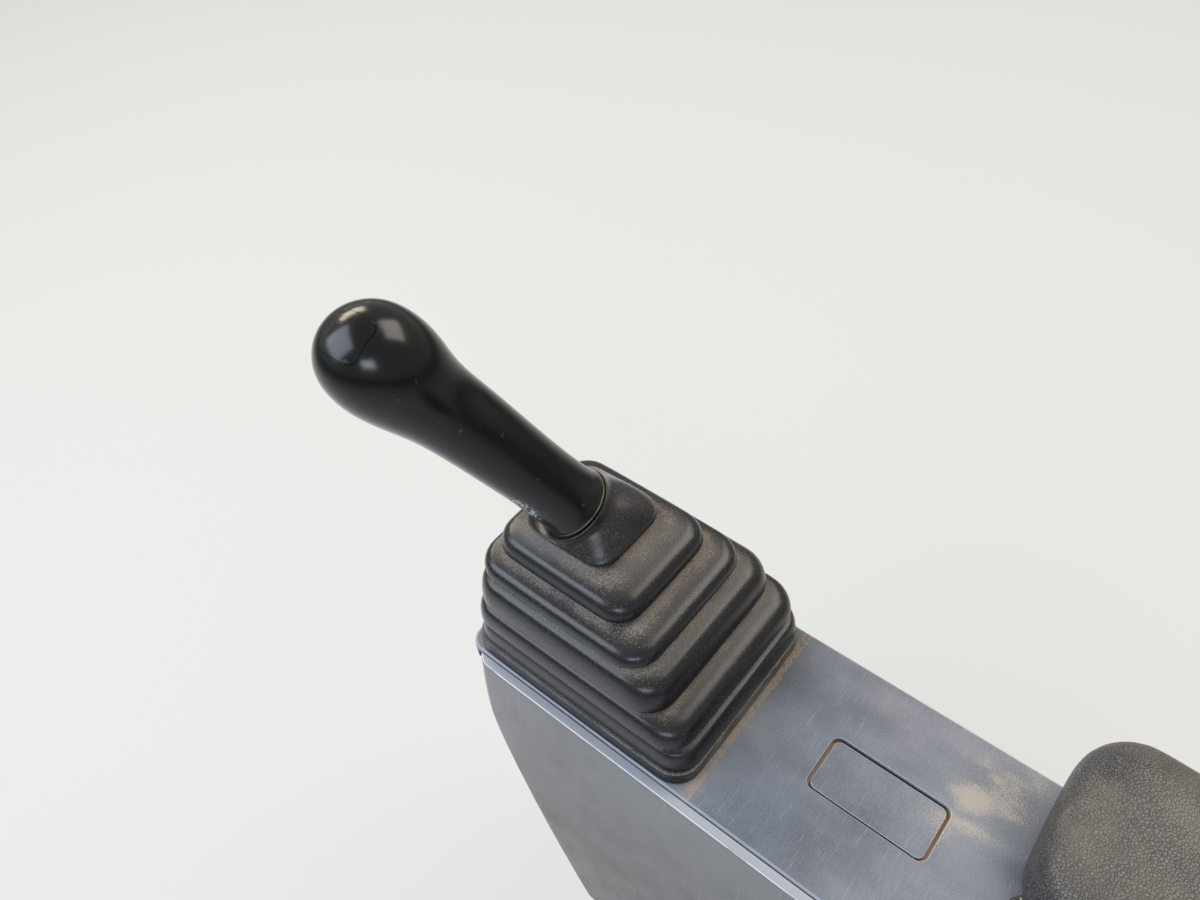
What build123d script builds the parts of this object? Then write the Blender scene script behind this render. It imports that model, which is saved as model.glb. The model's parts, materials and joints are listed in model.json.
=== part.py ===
import os
from math import atan, cos, degrees, radians, tan

from build123d import *

# Right-hand control lever console of a crawler excavator, in millimetres.
# X points to the operator's right, Y towards the front of the machine, Z up.
# The origin is the middle of the base plate's bolt pattern, on the floor face.

os.makedirs("parts", exist_ok=True)

# Driving sizes of the console
TOP_Z = 300.0            # height of the top cover's upper face above the floor
LEVER_Y = 250.0          # lever pivot, ahead of the bolt pattern's middle
PIVOT_DROP = 32.0        # pivot below the top cover's upper face
COVER_HALF = 67.5        # half the width of the top cover
COVER_REAR = -251.5      # rear edge of the top cover
BOOT_HALF_Y = 84.5       # half the length of the boot's foot
SKIN = 3.0               # moulded wall of the covers
SEAT_GAP = 0.3           # gap between pieces that are seated on each other
SEAM = 0.6               # open seam beside the top cover
PIN_CLEARANCE = 0.05     # round a hinge pin

BOOT_SHIFT_Y = -1.0      # the boot's foot lies this far ahead of the pivot
BOOT_MARGIN_X = 1.0      # lid left free beside the boot's foot
BOOT_MARGIN_Y = 2.5      # lid left free ahead of the boot's foot
BOOT_HALF_X = COVER_HALF - BOOT_MARGIN_X
COVER_FRONT = LEVER_Y + BOOT_SHIFT_Y + BOOT_HALF_Y + BOOT_MARGIN_Y
PIVOT = (0.0, LEVER_Y, TOP_Z - PIVOT_DROP)
PAST = 1.0               # how far a cutting solid reaches past a face
FAR = 2 * (COVER_FRONT - COVER_REAR)   # reach of a half-space block


def rounded_plate(half_x, half_y, corner_r, height, centre, base_z):
    """A flat plate with rounded corners, standing on base_z."""
    plane = Plane(origin=(centre[0], centre[1], base_z))
    return extrude(plane * RectangleRounded(2 * half_x, 2 * half_y, corner_r), amount=height)


def box_between(low, high):
    """A block from its lowest corner to its highest corner."""
    size = [high[i] - low[i] for i in range(3)]
    return Pos(*low) * Box(*size, align=(Align.MIN, Align.MIN, Align.MIN))


def rod(radius, start, end):
    """A round bar between two points."""
    a, line = Vector(*start), Vector(*end) - Vector(*start)
    return extrude(Plane(origin=a, z_dir=line.normalized()) * Circle(radius), amount=line.length)


def top_edges(shape):
    return shape.edges().group_by(Axis.Z)[-1]


def write(name, shape):
    """One file for one piece, or for like pieces on one body."""
    shape.label = name
    export_step(shape, f"parts/{name}.step")


# Base plate: laser-cut steel with four bolt holes and the hose opening
PLATE_T = 8.0
PLATE_CORNER_R = 14.0
BOLT_DX = 84.0
BOLT_DY = 384.0
BOLT_HOLE_R = 5.5
BOLT_EDGE_X = 14.0       # from a bolt hole's middle to the plate's side
BOLT_EDGE_Y = 20.0       # from a bolt hole's middle to the plate's end
BOLT_HEAD_ROOM = 22.0    # kept free of the pedestal round a bolt
HOSE_HOLE_HALF_X = 34.0
HOSE_HOLE_HALF_Y = 95.0
HOSE_HOLE_Y = 30.0
HOSE_HOLE_R = 12.0
PLATE_HALF_X = BOLT_DX / 2 + BOLT_EDGE_X
PLATE_HALF_Y = BOLT_DY / 2 + BOLT_EDGE_Y


def base_plate():
    plate = rounded_plate(PLATE_HALF_X, PLATE_HALF_Y, PLATE_CORNER_R, PLATE_T, (0, 0), 0)
    plate -= rounded_plate(
        HOSE_HOLE_HALF_X, HOSE_HOLE_HALF_Y, HOSE_HOLE_R, PLATE_T, (0, HOSE_HOLE_Y), 0
    )
    for sx in (-1, 1):
        for sy in (-1, 1):
            x, y = sx * BOLT_DX / 2, sy * BOLT_DY / 2
            plate -= rod(BOLT_HOLE_R, (x, y, 0), (x, y, PLATE_T))
    return plate


# Tray: folded steel channel under the top cover, which carries valve and covers
TRAY_DEPTH = 64.0        # tray floor's underside below the top cover's upper face
TRAY_T = 3.0
TRAY_SIDE_IN = 10.5      # tray wall inside the top cover's edge
TRAY_FRONT_IN = 36.0
TRAY_REAR_IN = 13.5
TRAY_WINDOW_HALF = 31.5  # half the square hole that the valve hangs through
TRAY_WINDOW_R = 6.0
TRAY_SLOT = (20.0, 45.0, 10.0)               # half width, half length, corner of a wiring slot
TRAY_SLOT_YS = (110.0, -20.0, -150.0)
TRAY_Z = TOP_Z - TRAY_DEPTH
TRAY_HALF_X = COVER_HALF - TRAY_SIDE_IN


def tray():
    wall_top = TOP_Z - SKIN
    front, rear = COVER_FRONT - TRAY_FRONT_IN, COVER_REAR + TRAY_REAR_IN
    body = box_between((-TRAY_HALF_X, rear, TRAY_Z), (TRAY_HALF_X, front, wall_top))
    inner = TRAY_HALF_X - TRAY_T
    body -= box_between(
        (-inner, rear + TRAY_T, TRAY_Z + TRAY_T), (inner, front - TRAY_T, wall_top + PAST)
    )
    cut_z, cut_h = TRAY_Z - PAST, TRAY_T + 2 * PAST
    body -= rounded_plate(
        TRAY_WINDOW_HALF, TRAY_WINDOW_HALF, TRAY_WINDOW_R, cut_h, (0, LEVER_Y), cut_z
    )
    half_x, half_y, corner = TRAY_SLOT
    for y in TRAY_SLOT_YS:
        body -= rounded_plate(half_x, half_y, corner, cut_h, (0, y), cut_z)
    return body


# Covers' pod outline: level sections from its top down to its foot
POD_LIP_W = 6.5          # flat lip of the left cover, beside the top cover
POD_TUCK = 1.5           # right wall under the top cover's edge
POD_FRONT_IN = 9.0       # front wall behind the top cover's front edge
POD_REAR_IN = 1.5
POD_TOP_DROP = 1.0       # the left cover's lip lies this far below the top cover
POD_FOOT_GAP = 2.5       # between the covers' foot and the base plate
POD_BEND_DROP = 61.0     # the front wall leans back below this
POD_LEAN = 0.3           # how far it leans for each millimetre of height
POD_CORNER_R = 16.0
POD_LIP_CHAMFER = 1.8
POD_LEFT = -COVER_HALF - POD_LIP_W
POD_RIGHT = COVER_HALF - POD_TUCK
POD_FRONT = COVER_FRONT - POD_FRONT_IN
POD_REAR = COVER_REAR + POD_REAR_IN
POD_TOP_Z = TOP_Z - POD_TOP_DROP
POD_FOOT_Z = PLATE_T + POD_FOOT_GAP
# drop below the pod's top, bulge of the left wall, bulge of the right wall, rounding of the front's bend
POD_ROWS = [
    (0.0, 0.0, 0.0, 0.0),
    (37.0, 2.4, 1.7, 0.0),
    (59.0, 3.6, 2.4, 1.8),
    (83.0, 4.6, 3.0, 0.0),
    (149.0, 6.0, 4.0, 0.0),
    (219.0, 5.5, 3.5, 0.0),
    (POD_TOP_Z - POD_FOOT_Z, 3.5, 2.0, 0.0),
]


def pod_section(row, inset, z):
    """A level outline of the pod at z, moved in by inset."""
    drop, bulge_left, bulge_right, rounding = row
    lean = POD_LEAN * max(drop - POD_BEND_DROP, 0) + rounding
    left = POD_LEFT - bulge_left + inset
    right = POD_RIGHT + bulge_right - inset
    front, rear = POD_FRONT - lean - inset, POD_REAR + inset
    plane = Plane(origin=((left + right) / 2, (front + rear) / 2, z))
    return plane * RectangleRounded(right - left, front - rear, POD_CORNER_R - inset)


def pod_outside():
    faces = [
        pod_section(POD_ROWS[0], POD_LIP_CHAMFER, POD_TOP_Z),
        pod_section(POD_ROWS[0], 0, POD_TOP_Z - POD_LIP_CHAMFER),
    ]
    faces += [pod_section(row, 0, POD_TOP_Z - row[0]) for row in POD_ROWS[1:]]
    return loft(faces[::-1], ruled=True)


def pod_inside():
    """The hollow, which runs past the foot and the top."""
    levels = [POD_TOP_Z - row[0] for row in POD_ROWS]
    levels[0] += PAST
    levels[-1] -= PAST
    faces = [pod_section(row, SKIN, z) for row, z in zip(POD_ROWS, levels)]
    return loft(faces[::-1], ruled=True)


def cover_shell():
    """Both side covers in one: a lip along the left, and walls that end under the top cover."""
    seam_x = -COVER_HALF - SEAM
    lip = box_between((-FAR, -FAR, POD_TOP_Z - SKIN), (seam_x, FAR, TOP_Z + PAST))
    shell = pod_outside() - (pod_inside() - lip)
    wall_top = TOP_Z - SKIN - SEAT_GAP
    return shell - box_between((seam_x, -FAR, wall_top), (FAR, FAR, TOP_Z + PAST))


def side_cover(side, shell):
    """Half of the cover shell, left of the middle line for side -1, else right."""
    half_seam = SEAM / 4
    low, high = (-FAR, -half_seam) if side < 0 else (half_seam, FAR)
    return shell & box_between((low, -FAR, 0), (high, FAR, TOP_Z + PAST))


def cover_wall_x(side, z):
    """Inner face of a side cover's wall at height z."""
    drop = POD_TOP_Z - z
    for upper, lower in zip(POD_ROWS, POD_ROWS[1:]):
        if upper[0] <= drop <= lower[0]:
            share = (drop - upper[0]) / (lower[0] - upper[0])
            column = 1 if side < 0 else 2
            bulge = upper[column] + share * (lower[column] - upper[column])
    return POD_LEFT - bulge + SKIN if side < 0 else POD_RIGHT + bulge - SKIN


# Pedestal: two side plates with windows, held apart by spacer bars, with the covers' standoffs outside
PEDESTAL_T = 4.0
PEDESTAL_SIDE_IN = 11.0  # side plate inside the base plate's edge
PEDESTAL_FOOT_FRONT = 150.0
PEDESTAL_TOP_FRONT = 200.0
SPACER_R = 8.0
STANDOFF_R = 6.0
WINDOW_R = 14.0
PEDESTAL_HALF_X = PLATE_HALF_X - PEDESTAL_SIDE_IN
PEDESTAL_REAR = BOLT_HEAD_ROOM - BOLT_DY / 2
# centre y, centre z above the base plate, half length, half height
PEDESTAL_WINDOWS = [
    (-108.0, 110.0, 40.0, 48.0),
    (0.0, 110.0, 40.0, 48.0),
    (100.0, 110.0, 32.0, 48.0),
]
# centre y, centre z above the base plate
SPACERS = [(-54.0, 187.0), (-54.0, 37.0), (54.0, 187.0), (54.0, 37.0)]
STANDOFFS = [(-148.0, 40.0), (124.0, 40.0)]


def pedestal():
    outline = [
        (PEDESTAL_REAR, PLATE_T),
        (PEDESTAL_FOOT_FRONT, PLATE_T),
        (PEDESTAL_TOP_FRONT, TRAY_Z),
        (PEDESTAL_REAR, TRAY_Z),
    ]
    plates = []
    for low_x in (-PEDESTAL_HALF_X, PEDESTAL_HALF_X - PEDESTAL_T):
        plane = Plane.YZ.offset(low_x)
        plate = extrude(plane * Polygon(*outline, align=None), amount=PEDESTAL_T)
        for y, up, half_y, half_z in PEDESTAL_WINDOWS:
            window = Pos(y, PLATE_T + up) * RectangleRounded(2 * half_y, 2 * half_z, WINDOW_R)
            plate -= extrude(plane * window, amount=PEDESTAL_T)
        plates.append(plate)
    return Compound(children=plates)


def pedestal_spacers():
    inner = PEDESTAL_HALF_X - PEDESTAL_T
    bars = []
    for y, up in SPACERS:
        bars.append(rod(SPACER_R, (-inner, y, PLATE_T + up), (inner, y, PLATE_T + up)))
    for side in (-1, 1):
        for y, up in STANDOFFS:
            z = PLATE_T + up
            walls = [cover_wall_x(side, z + way * STANDOFF_R) for way in (-1, 1)]
            end = min(abs(wall) for wall in walls) - SEAT_GAP
            bars.append(rod(STANDOFF_R, (side * PEDESTAL_HALF_X, y, z), (side * end, y, z)))
    return Compound(children=bars)


# Top cover: flat moulded lid with the boot opening, blank pocket and dial hole
BOOT_FOOT_IN = 8.0       # width of the boot's flat foot on the lid
BOOT_OPENING_IN = 9.5    # edge of the boot opening inside the boot's foot
BOOT_OPENING_R = 15.0
BLANK_Y = 85.0
BLANK_HALF = (17.1, 34.8)
BLANK_R = 4.0
BLANK_GAP = 1.1
BLANK_DROP = 0.4
BLANK_T = 2.8
BLANK_EDGE = 0.4
POCKET_WALL = 3.0
POCKET_FLOOR = 2.5
DIAL_X, DIAL_Y = -14.0, -8.0
DIAL_BORE_R = 13.0
COVER_CORNER_R = 12.0
COVER_EDGE = 1.2
FRONT_LIP_DROP = 12.0


def top_cover():
    mid_y = (COVER_FRONT + COVER_REAR) / 2
    half_y = (COVER_FRONT - COVER_REAR) / 2
    lid = rounded_plate(COVER_HALF, half_y, COVER_CORNER_R, SKIN, (0, mid_y), TOP_Z - SKIN)
    # turned-down lip round the front corners
    lip = rounded_plate(
        COVER_HALF, half_y, COVER_CORNER_R, FRONT_LIP_DROP, (0, mid_y), TOP_Z - FRONT_LIP_DROP
    )
    lid += lip & box_between((-FAR, POD_FRONT + SEAT_GAP, 0), (FAR, FAR, TOP_Z))
    lid = chamfer(top_edges(lid), COVER_EDGE)
    # pocket block under the blank
    pocket = [half + BLANK_GAP for half in BLANK_HALF]
    pocket_z = TOP_Z - BLANK_DROP - BLANK_T
    lid += rounded_plate(
        pocket[0] + POCKET_WALL, pocket[1] + POCKET_WALL, BLANK_R + POCKET_WALL,
        TOP_Z - SKIN - pocket_z + POCKET_FLOOR, (0, BLANK_Y), pocket_z - POCKET_FLOOR,
    )
    lid -= rounded_plate(*pocket, BLANK_R + BLANK_GAP, FRONT_LIP_DROP, (0, BLANK_Y), pocket_z)
    cut_z, cut_h = TOP_Z - SKIN - PAST, SKIN + 2 * PAST
    lid -= rounded_plate(
        BOOT_HALF_X - BOOT_OPENING_IN, BOOT_HALF_Y - BOOT_OPENING_IN, BOOT_OPENING_R, cut_h,
        (0, LEVER_Y + BOOT_SHIFT_Y), cut_z,
    )
    return lid - rod(DIAL_BORE_R, (DIAL_X, DIAL_Y, cut_z), (DIAL_X, DIAL_Y, cut_z + cut_h))


def switch_blank():
    floor_z = TOP_Z - BLANK_DROP - BLANK_T
    blank = rounded_plate(*BLANK_HALF, BLANK_R, BLANK_T, (0, BLANK_Y), floor_z)
    return chamfer(top_edges(blank), BLANK_EDGE)


# Throttle dial: a bezel ring pressed in the lid and a low notched knob in it
DIAL_BEZEL_R = 17.0
DIAL_BEZEL_H = 2.5
DIAL_KNOB_R = 11.0
DIAL_KNOB_H = 8.0
DIAL_KNOB_GAP = 0.8
DIAL_EDGE = 0.9
DIAL_NOTCH_COUNT = 12
DIAL_NOTCH = 1.2
DIAL_SINK = 1.0          # knob's foot below the lid's face


def dial_bezel():
    base = TOP_Z - SKIN
    ring = rod(DIAL_BEZEL_R, (DIAL_X, DIAL_Y, TOP_Z), (DIAL_X, DIAL_Y, TOP_Z + DIAL_BEZEL_H))
    ring += rod(DIAL_BORE_R - SEAT_GAP, (DIAL_X, DIAL_Y, base), (DIAL_X, DIAL_Y, TOP_Z))
    seat = (DIAL_X, DIAL_Y, TOP_Z - DIAL_SINK)
    mouth = (DIAL_X, DIAL_Y, TOP_Z + DIAL_BEZEL_H + PAST)
    return ring - rod(DIAL_KNOB_R + DIAL_KNOB_GAP, seat, mouth)


def throttle_dial():
    base = TOP_Z - DIAL_SINK
    knob = rod(DIAL_KNOB_R, (DIAL_X, DIAL_Y, base), (DIAL_X, DIAL_Y, base + DIAL_KNOB_H))
    knob = chamfer(top_edges(knob), DIAL_EDGE)
    # each notch is a square bar on edge, let into the rim above the bezel
    side = 2 * DIAL_NOTCH
    notch = Box(side, side, 2 * DIAL_KNOB_H, align=(Align.CENTER, Align.CENTER, Align.MIN))
    notch = Pos(DIAL_KNOB_R + DIAL_NOTCH / 2) * Rot(0, 0, 45) * notch
    foot = Pos(DIAL_X, DIAL_Y, TOP_Z + DIAL_BEZEL_H)
    for i in range(DIAL_NOTCH_COUNT):
        knob -= foot * Rot(0, 0, 360 * i / DIAL_NOTCH_COUNT) * notch
    return knob


# Pilot valve: a plain block hung from its flange, with six hose nipples underneath
VALVE_HALF = 30.0
VALVE_H = 73.0
VALVE_CORNER_R = 7.0
VALVE_FOOT_CHAMFER = 2.0
VALVE_FLANGE_HALF = 42.0
VALVE_FLANGE_R = 8.0
VALVE_FLANGE_T = 8.0
VALVE_SEAT_Z = TRAY_Z + TRAY_T
VALVE_FOOT_Z = VALVE_SEAT_Z - VALVE_H
# x, y of each port from the lever axis
PORTS = [(-16.0, -16.0), (16.0, -16.0), (-16.0, 16.0), (16.0, 16.0), (-18.0, 0.0), (18.0, 0.0)]
NIPPLE_FLATS = 14.0
NIPPLE_HEX_H = 7.0
NIPPLE_STUB_R = 5.5
NIPPLE_STUB_H = 14.0


def valve_block():
    block = rounded_plate(VALVE_HALF, VALVE_HALF, VALVE_CORNER_R, VALVE_H, (0, LEVER_Y), VALVE_FOOT_Z)
    block = chamfer(block.edges().group_by(Axis.Z)[0], VALVE_FOOT_CHAMFER)
    return block + rounded_plate(
        VALVE_FLANGE_HALF, VALVE_FLANGE_HALF, VALVE_FLANGE_R, VALVE_FLANGE_T,
        (0, LEVER_Y), VALVE_SEAT_Z,
    )


def port_nipples():
    hexagon = RegularPolygon(NIPPLE_FLATS / 2, 6, major_radius=False)
    nipples = []
    for dx, dy in PORTS:
        hex_foot = VALVE_FOOT_Z - NIPPLE_HEX_H
        nut = extrude(Plane(origin=(dx, LEVER_Y + dy, hex_foot)) * hexagon, amount=NIPPLE_HEX_H)
        stub = rod(
            NIPPLE_STUB_R, (dx, LEVER_Y + dy, hex_foot - NIPPLE_STUB_H), (dx, LEVER_Y + dy, hex_foot)
        )
        nipples.append(nut + stub)
    return Compound(children=nipples)


# Universal joint: yoke on the valve, cross, and the fork of the lever
PIN_R = 4.0
LUG_INNER = 12.0
LUG_OUTER = 18.0
LUG_R = 8.0
YOKE_DISC_R = 25.0
YOKE_DISC_T = 6.0
FORK_HALF = 7.0
CROSS_SIDE_GAP = 0.6
CROSS_CORNER_R = 2.0
CROSS_HALF_Z = 6.0
BRIDGE_LIFT = 18.0       # underside of the fork's bridge above the pivot
BRIDGE_T = 8.0


def valve_yoke():
    px, py, pz = PIVOT
    foot = VALVE_SEAT_Z + VALVE_FLANGE_T
    disc_top = foot + YOKE_DISC_T
    yoke = rod(YOKE_DISC_R, (px, py, foot), (px, py, disc_top))
    for side in (-1, 1):
        x0, x1 = sorted((side * LUG_INNER, side * LUG_OUTER))
        lug = rod(LUG_R, (x0, py, pz), (x1, py, pz))
        lug += box_between((x0, py - LUG_R, disc_top), (x1, py + LUG_R, pz))
        yoke += lug - rod(PIN_R + PIN_CLEARANCE, (x0 - PAST, py, pz), (x1 + PAST, py, pz))
    return yoke


def gimbal_cross():
    px, py, pz = PIVOT
    half = LUG_INNER - CROSS_SIDE_GAP
    block = rounded_plate(half, half, CROSS_CORNER_R, 2 * CROSS_HALF_Z, (px, py), pz - CROSS_HALF_Z)
    block += rod(PIN_R, (-LUG_OUTER, py, pz), (LUG_OUTER, py, pz))
    return block + rod(PIN_R, (px, py - LUG_OUTER, pz), (px, py + LUG_OUTER, pz))


# Boot: a bellows of rounded rectangles round the lever, moulded in rubber, on a flat-sided foot.
# Each step is an upright skirt under a sloping tread; a narrower neck joins it to the step above.
BOOT_WALL = 2.2
BOOT_FOOT_H = 10.0
BOOT_FOOT = (0.0, BOOT_SHIFT_Y, BOOT_HALF_X, BOOT_HALF_Y, 18.0)  # outline, as BOOT_TOP below
NECK_IN = 4.0            # how far a neck lies inside the skirt above it
SPLIT_DROP = 2.5         # the boot is cut this far below the first upper step
HOLLOW_CORNER = 0.62     # corner cut of the hollow, as a share of the neck's corner radius
# height of the skirt's edge above the lid, skirt height, tread rise, tread inset,
# shift x and y from the pivot, inset x and y from the foot's size, corner radius
LOWER_STEPS = [
    (0.0, 21.0, 4.5, 3.5, 0.5, 1.3, 1.8, 3.5, 18.0),
    (29.0, 8.0, 6.0, 5.0, 1.0, 4.0, 1.5, 6.0, 19.0),
]
UPPER_STEPS = [
    (47.0, 9.0, 8.0, 5.5, 0.0, 10.0, 5.0, 14.0, 20.0),
    (73.0, 8.0, 4.5, 8.5, -4.0, 17.0, 14.0, 23.0, 19.0),
    (87.0, 8.0, 9.0, 9.0, -3.5, 22.5, 24.5, 35.5, 17.0),
]
BOOT_TOP_NECK = 2.5      # the last tread's edge below the collar
BOOT_TOP = (-5.0, 27.5, 28.5, 31.0, 14.0)    # shift x, shift y, half x, half y, corner radius
BOOT_TOP_H = sum(UPPER_STEPS[-1][:3]) + BOOT_TOP_NECK
SPLIT_H = UPPER_STEPS[0][0] - SPLIT_DROP


def skirt_outline(step):
    """Shift x, shift y, half x, half y and corner radius of a step."""
    dx, dy, in_x, in_y, corner = step[4:]
    return dx, dy, BOOT_HALF_X - in_x, BOOT_HALF_Y - in_y, corner


def neck_outline(step):
    dx, dy, half_x, half_y, corner = skirt_outline(step)
    return dx, dy, half_x - NECK_IN, half_y - NECK_IN, corner - NECK_IN


def boot_plane(outline, height):
    return Plane(origin=(outline[0], LEVER_Y + outline[1], TOP_Z + height))


def boot_ring(outline, height):
    half_x, half_y, corner = outline[2:]
    return boot_plane(outline, height) * RectangleRounded(2 * half_x, 2 * half_y, corner)


def boot_block(outline, low, high):
    return extrude(boot_ring(outline, low), amount=high - low)


def hollow_ring(outline, height):
    """Inside of the rubber: a rectangle with its corners cut off."""
    half_x, half_y, corner = outline[2:]
    ring = Rectangle(2 * (half_x - BOOT_WALL), 2 * (half_y - BOOT_WALL))
    return boot_plane(outline, height) * chamfer(ring.vertices(), HOLLOW_CORNER * corner)


def bellows(steps, necks, hollow):
    """Steps, each under its neck (outline, top height), less the hollow, begun by the caller."""
    body = None
    for step, (neck, neck_top) in zip(steps, necks):
        low, skirt, rise, tread_in = step[:4]
        shoulder, tread_top = low + skirt, low + skirt + rise
        outline = skirt_outline(step)
        part = boot_block(outline, low, shoulder)
        slope = degrees(atan(tread_in / rise))
        part += extrude(boot_ring(outline, shoulder), amount=rise, taper=slope)
        part += boot_block(neck, tread_top, neck_top)
        body = part if body is None else body + part
        hollow += [hollow_ring(neck, tread_top), hollow_ring(neck, neck_top)]
    return body - loft(hollow, ruled=True)


def boot_lower():
    first = LOWER_STEPS[0]
    above = LOWER_STEPS[1:] + UPPER_STEPS[:1]
    necks = [(neck_outline(step), step[0]) for step in above]
    necks[-1] = (necks[-1][0], SPLIT_H)
    body = bellows(LOWER_STEPS, necks, [hollow_ring(skirt_outline(first), first[0])])
    dx, dy, half_x, half_y, corner = BOOT_FOOT
    edge = BOOT_FOOT_IN
    hole = (dx, dy, half_x - edge, half_y - edge, corner - edge)
    foot = boot_block(BOOT_FOOT, 0, BOOT_FOOT_H) - boot_block(skirt_outline(first), 0, BOOT_FOOT_H)
    flange = boot_block(BOOT_FOOT, 0, BOOT_WALL) - boot_block(hole, 0, BOOT_WALL)
    return body + foot + flange


def boot_upper():
    first = UPPER_STEPS[0]
    neck = neck_outline(first)
    necks = [(neck_outline(step), step[0]) for step in UPPER_STEPS[1:]]
    necks.append((BOOT_TOP, BOOT_TOP_H))
    start = [hollow_ring(neck, SPLIT_H), hollow_ring(neck, first[0])]
    root = boot_block(neck, SPLIT_H, first[0])
    root -= loft(start, ruled=True)
    return bellows(UPPER_STEPS, necks, start[1:]) + root


# Lever rod: from the fork it leans forward, then bends into the grip's line
RIM_SHIFT = (-7.4, 4.6)  # middle of the grip's lower rim from the middle of the boot's top
RIM_LIFT = 13.7          # middle of the rim above the boot's top
RIM_CENTRE = Vector(
    BOOT_TOP[0] + RIM_SHIFT[0], LEVER_Y + BOOT_TOP[1] + RIM_SHIFT[1], TOP_Z + BOOT_TOP_H + RIM_LIFT
)
GRIP_LINE = Vector(-0.4041, 0.4296, 0.8076).normalized()     # direction of the grip
ROD_R = 6.0
ROD_BEND_R = 28.0
ROD_TUCK = 62.0          # length of rod inside the grip
BEND_DROP = 32.0         # bend below the rim, along the grip's line


def lever_rod(radius):
    """The bent rod at the given radius: two straight runs and a tangent arc."""
    px, py, pz = PIVOT
    foot = Vector(px, py, pz + BRIDGE_LIFT + BRIDGE_T / 2)
    bend = RIM_CENTRE - GRIP_LINE * BEND_DROP
    head = RIM_CENTRE + GRIP_LINE * ROD_TUCK
    first, second = (bend - foot).normalized(), (head - bend).normalized()
    half_turn = radians(first.get_angle(second) / 2)
    setback = ROD_BEND_R * tan(half_turn)
    a, b = bend - first * setback, bend + second * setback
    to_centre = (second - first).normalized()
    middle = bend + to_centre * (ROD_BEND_R / cos(half_turn) - ROD_BEND_R)
    path = Wire([Line(foot, a), ThreePointArc(a, middle, b), Line(b, head)])
    return sweep(Plane(origin=foot, z_dir=first) * Circle(radius), path=path)


def lever_fork():
    px, py, pz = PIVOT
    low = pz + BRIDGE_LIFT
    high = low + BRIDGE_T
    fork = box_between((-FORK_HALF, py - LUG_OUTER, low), (FORK_HALF, py + LUG_OUTER, high))
    for side in (-1, 1):
        y0, y1 = sorted((py + side * LUG_INNER, py + side * LUG_OUTER))
        arm = rod(FORK_HALF, (px, y0, pz), (px, y1, pz))
        arm += box_between((-FORK_HALF, y0, pz), (FORK_HALF, y1, high))
        fork += arm - rod(PIN_R + PIN_CLEARANCE, (px, y0 - PAST, pz), (px, y1 + PAST, pz))
    return fork + lever_rod(ROD_R)


# Collar: a rounded square block on the boot with a sloping top, and a round neck up to the grip
COLLAR_H = 10.0          # height of the block over the boot's middle
COLLAR_SLOPE = Vector(-0.085, 0.093, 1.0)    # square to the block's sloping top
NECK_TOP_R = 19.6
NECK_FOOT_R = 23.5
NECK_L = 17.0
NECK_DROP = 1.5          # the neck ends this far below the grip's rim
RIM_POCKET_GAP = 0.4     # round the grip's rim, where it dips into the block
COLLAR_BORE_R = ROD_R + SEAT_GAP


def collar():
    foot = boot_plane(BOOT_TOP, BOOT_TOP_H).origin
    block = boot_block(BOOT_TOP, BOOT_TOP_H, BOOT_TOP_H + 2 * COLLAR_H)
    above = Plane(origin=foot + Vector(0, 0, COLLAR_H), z_dir=COLLAR_SLOPE)
    block -= extrude(above * Rectangle(FAR, FAR), amount=3 * COLLAR_H)
    neck_top = RIM_CENTRE - GRIP_LINE * NECK_DROP
    neck = Plane(origin=neck_top - GRIP_LINE * NECK_L, z_dir=GRIP_LINE) * Cone(
        NECK_FOOT_R, NECK_TOP_R, NECK_L, align=(Align.CENTER, Align.CENTER, Align.MIN)
    )
    neck &= box_between((-FAR, -FAR, foot.Z), (FAR, FAR, FAR))
    rim_r = GRIP_RIM_R + RIM_POCKET_GAP
    pocket = rod(rim_r, neck_top, neck_top + GRIP_LINE * 3 * COLLAR_H)
    return block + neck - pocket - lever_rod(COLLAR_BORE_R)


# Grip: moulded stick with a bulbous head; its sections lie square to its line
GRIP_RIM_R = 20.8
# distance up the line, radius
GRIP_SECTIONS = [
    (0.0, 20.2),
    (3.0, GRIP_RIM_R),
    (14.0, 19.6),
    (78.0, 19.6),
    (101.0, 21.6),
    (114.0, 23.6),
    (127.0, 26.8),
    (140.0, 28.0),
    (152.0, 25.8),
    (161.0, 20.6),
    (168.0, 12.4),
    (170.5, 5.0),
]
CAP_DIRECTION = Vector(-0.47, -0.02, 0.88).normalized()  # from the head's middle to the cap
CAP_HALF = 11.0
CAP_CORNER_R = 5.0
CAP_DEPTH = 3.2
CAP_GAP = 0.25


def grip_body():
    faces = [
        Plane(origin=RIM_CENTRE + GRIP_LINE * up, z_dir=GRIP_LINE) * Circle(radius)
        for up, radius in GRIP_SECTIONS
    ]
    return loft(faces, ruled=True)


def cap_prism(growth):
    """A rounded square bar that stands in the head's skin, grown by a gap all round."""
    up, radius = max(GRIP_SECTIONS, key=lambda section: section[1])
    origin = RIM_CENTRE + GRIP_LINE * up + CAP_DIRECTION * (radius - CAP_DEPTH - growth)
    plane = Plane(origin=origin, x_dir=GRIP_LINE.cross(CAP_DIRECTION), z_dir=CAP_DIRECTION)
    half = CAP_HALF + growth
    outline = RectangleRounded(2 * half, 2 * half, CAP_CORNER_R + growth)
    return extrude(plane * outline, amount=2 * half)


def grip():
    bore_start = RIM_CENTRE - GRIP_LINE * PAST
    bore_end = RIM_CENTRE + GRIP_LINE * (ROD_TUCK + PAST)
    return grip_body() - cap_prism(CAP_GAP) - rod(ROD_R + SEAT_GAP, bore_start, bore_end)


def grip_cap():
    return grip_body() & cap_prism(0)


# Armrest: foam pad on a steel plate, hinged at the rear on a bracket
PAD_X = 28.0
PAD_HALF_X = 63.0
PAD_FRONT = 11.0
PAD_REAR = -224.0
PAD_LIFT = 14.0          # pad's underside above the lid
PAD_CORNER_R = 34.0
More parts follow.
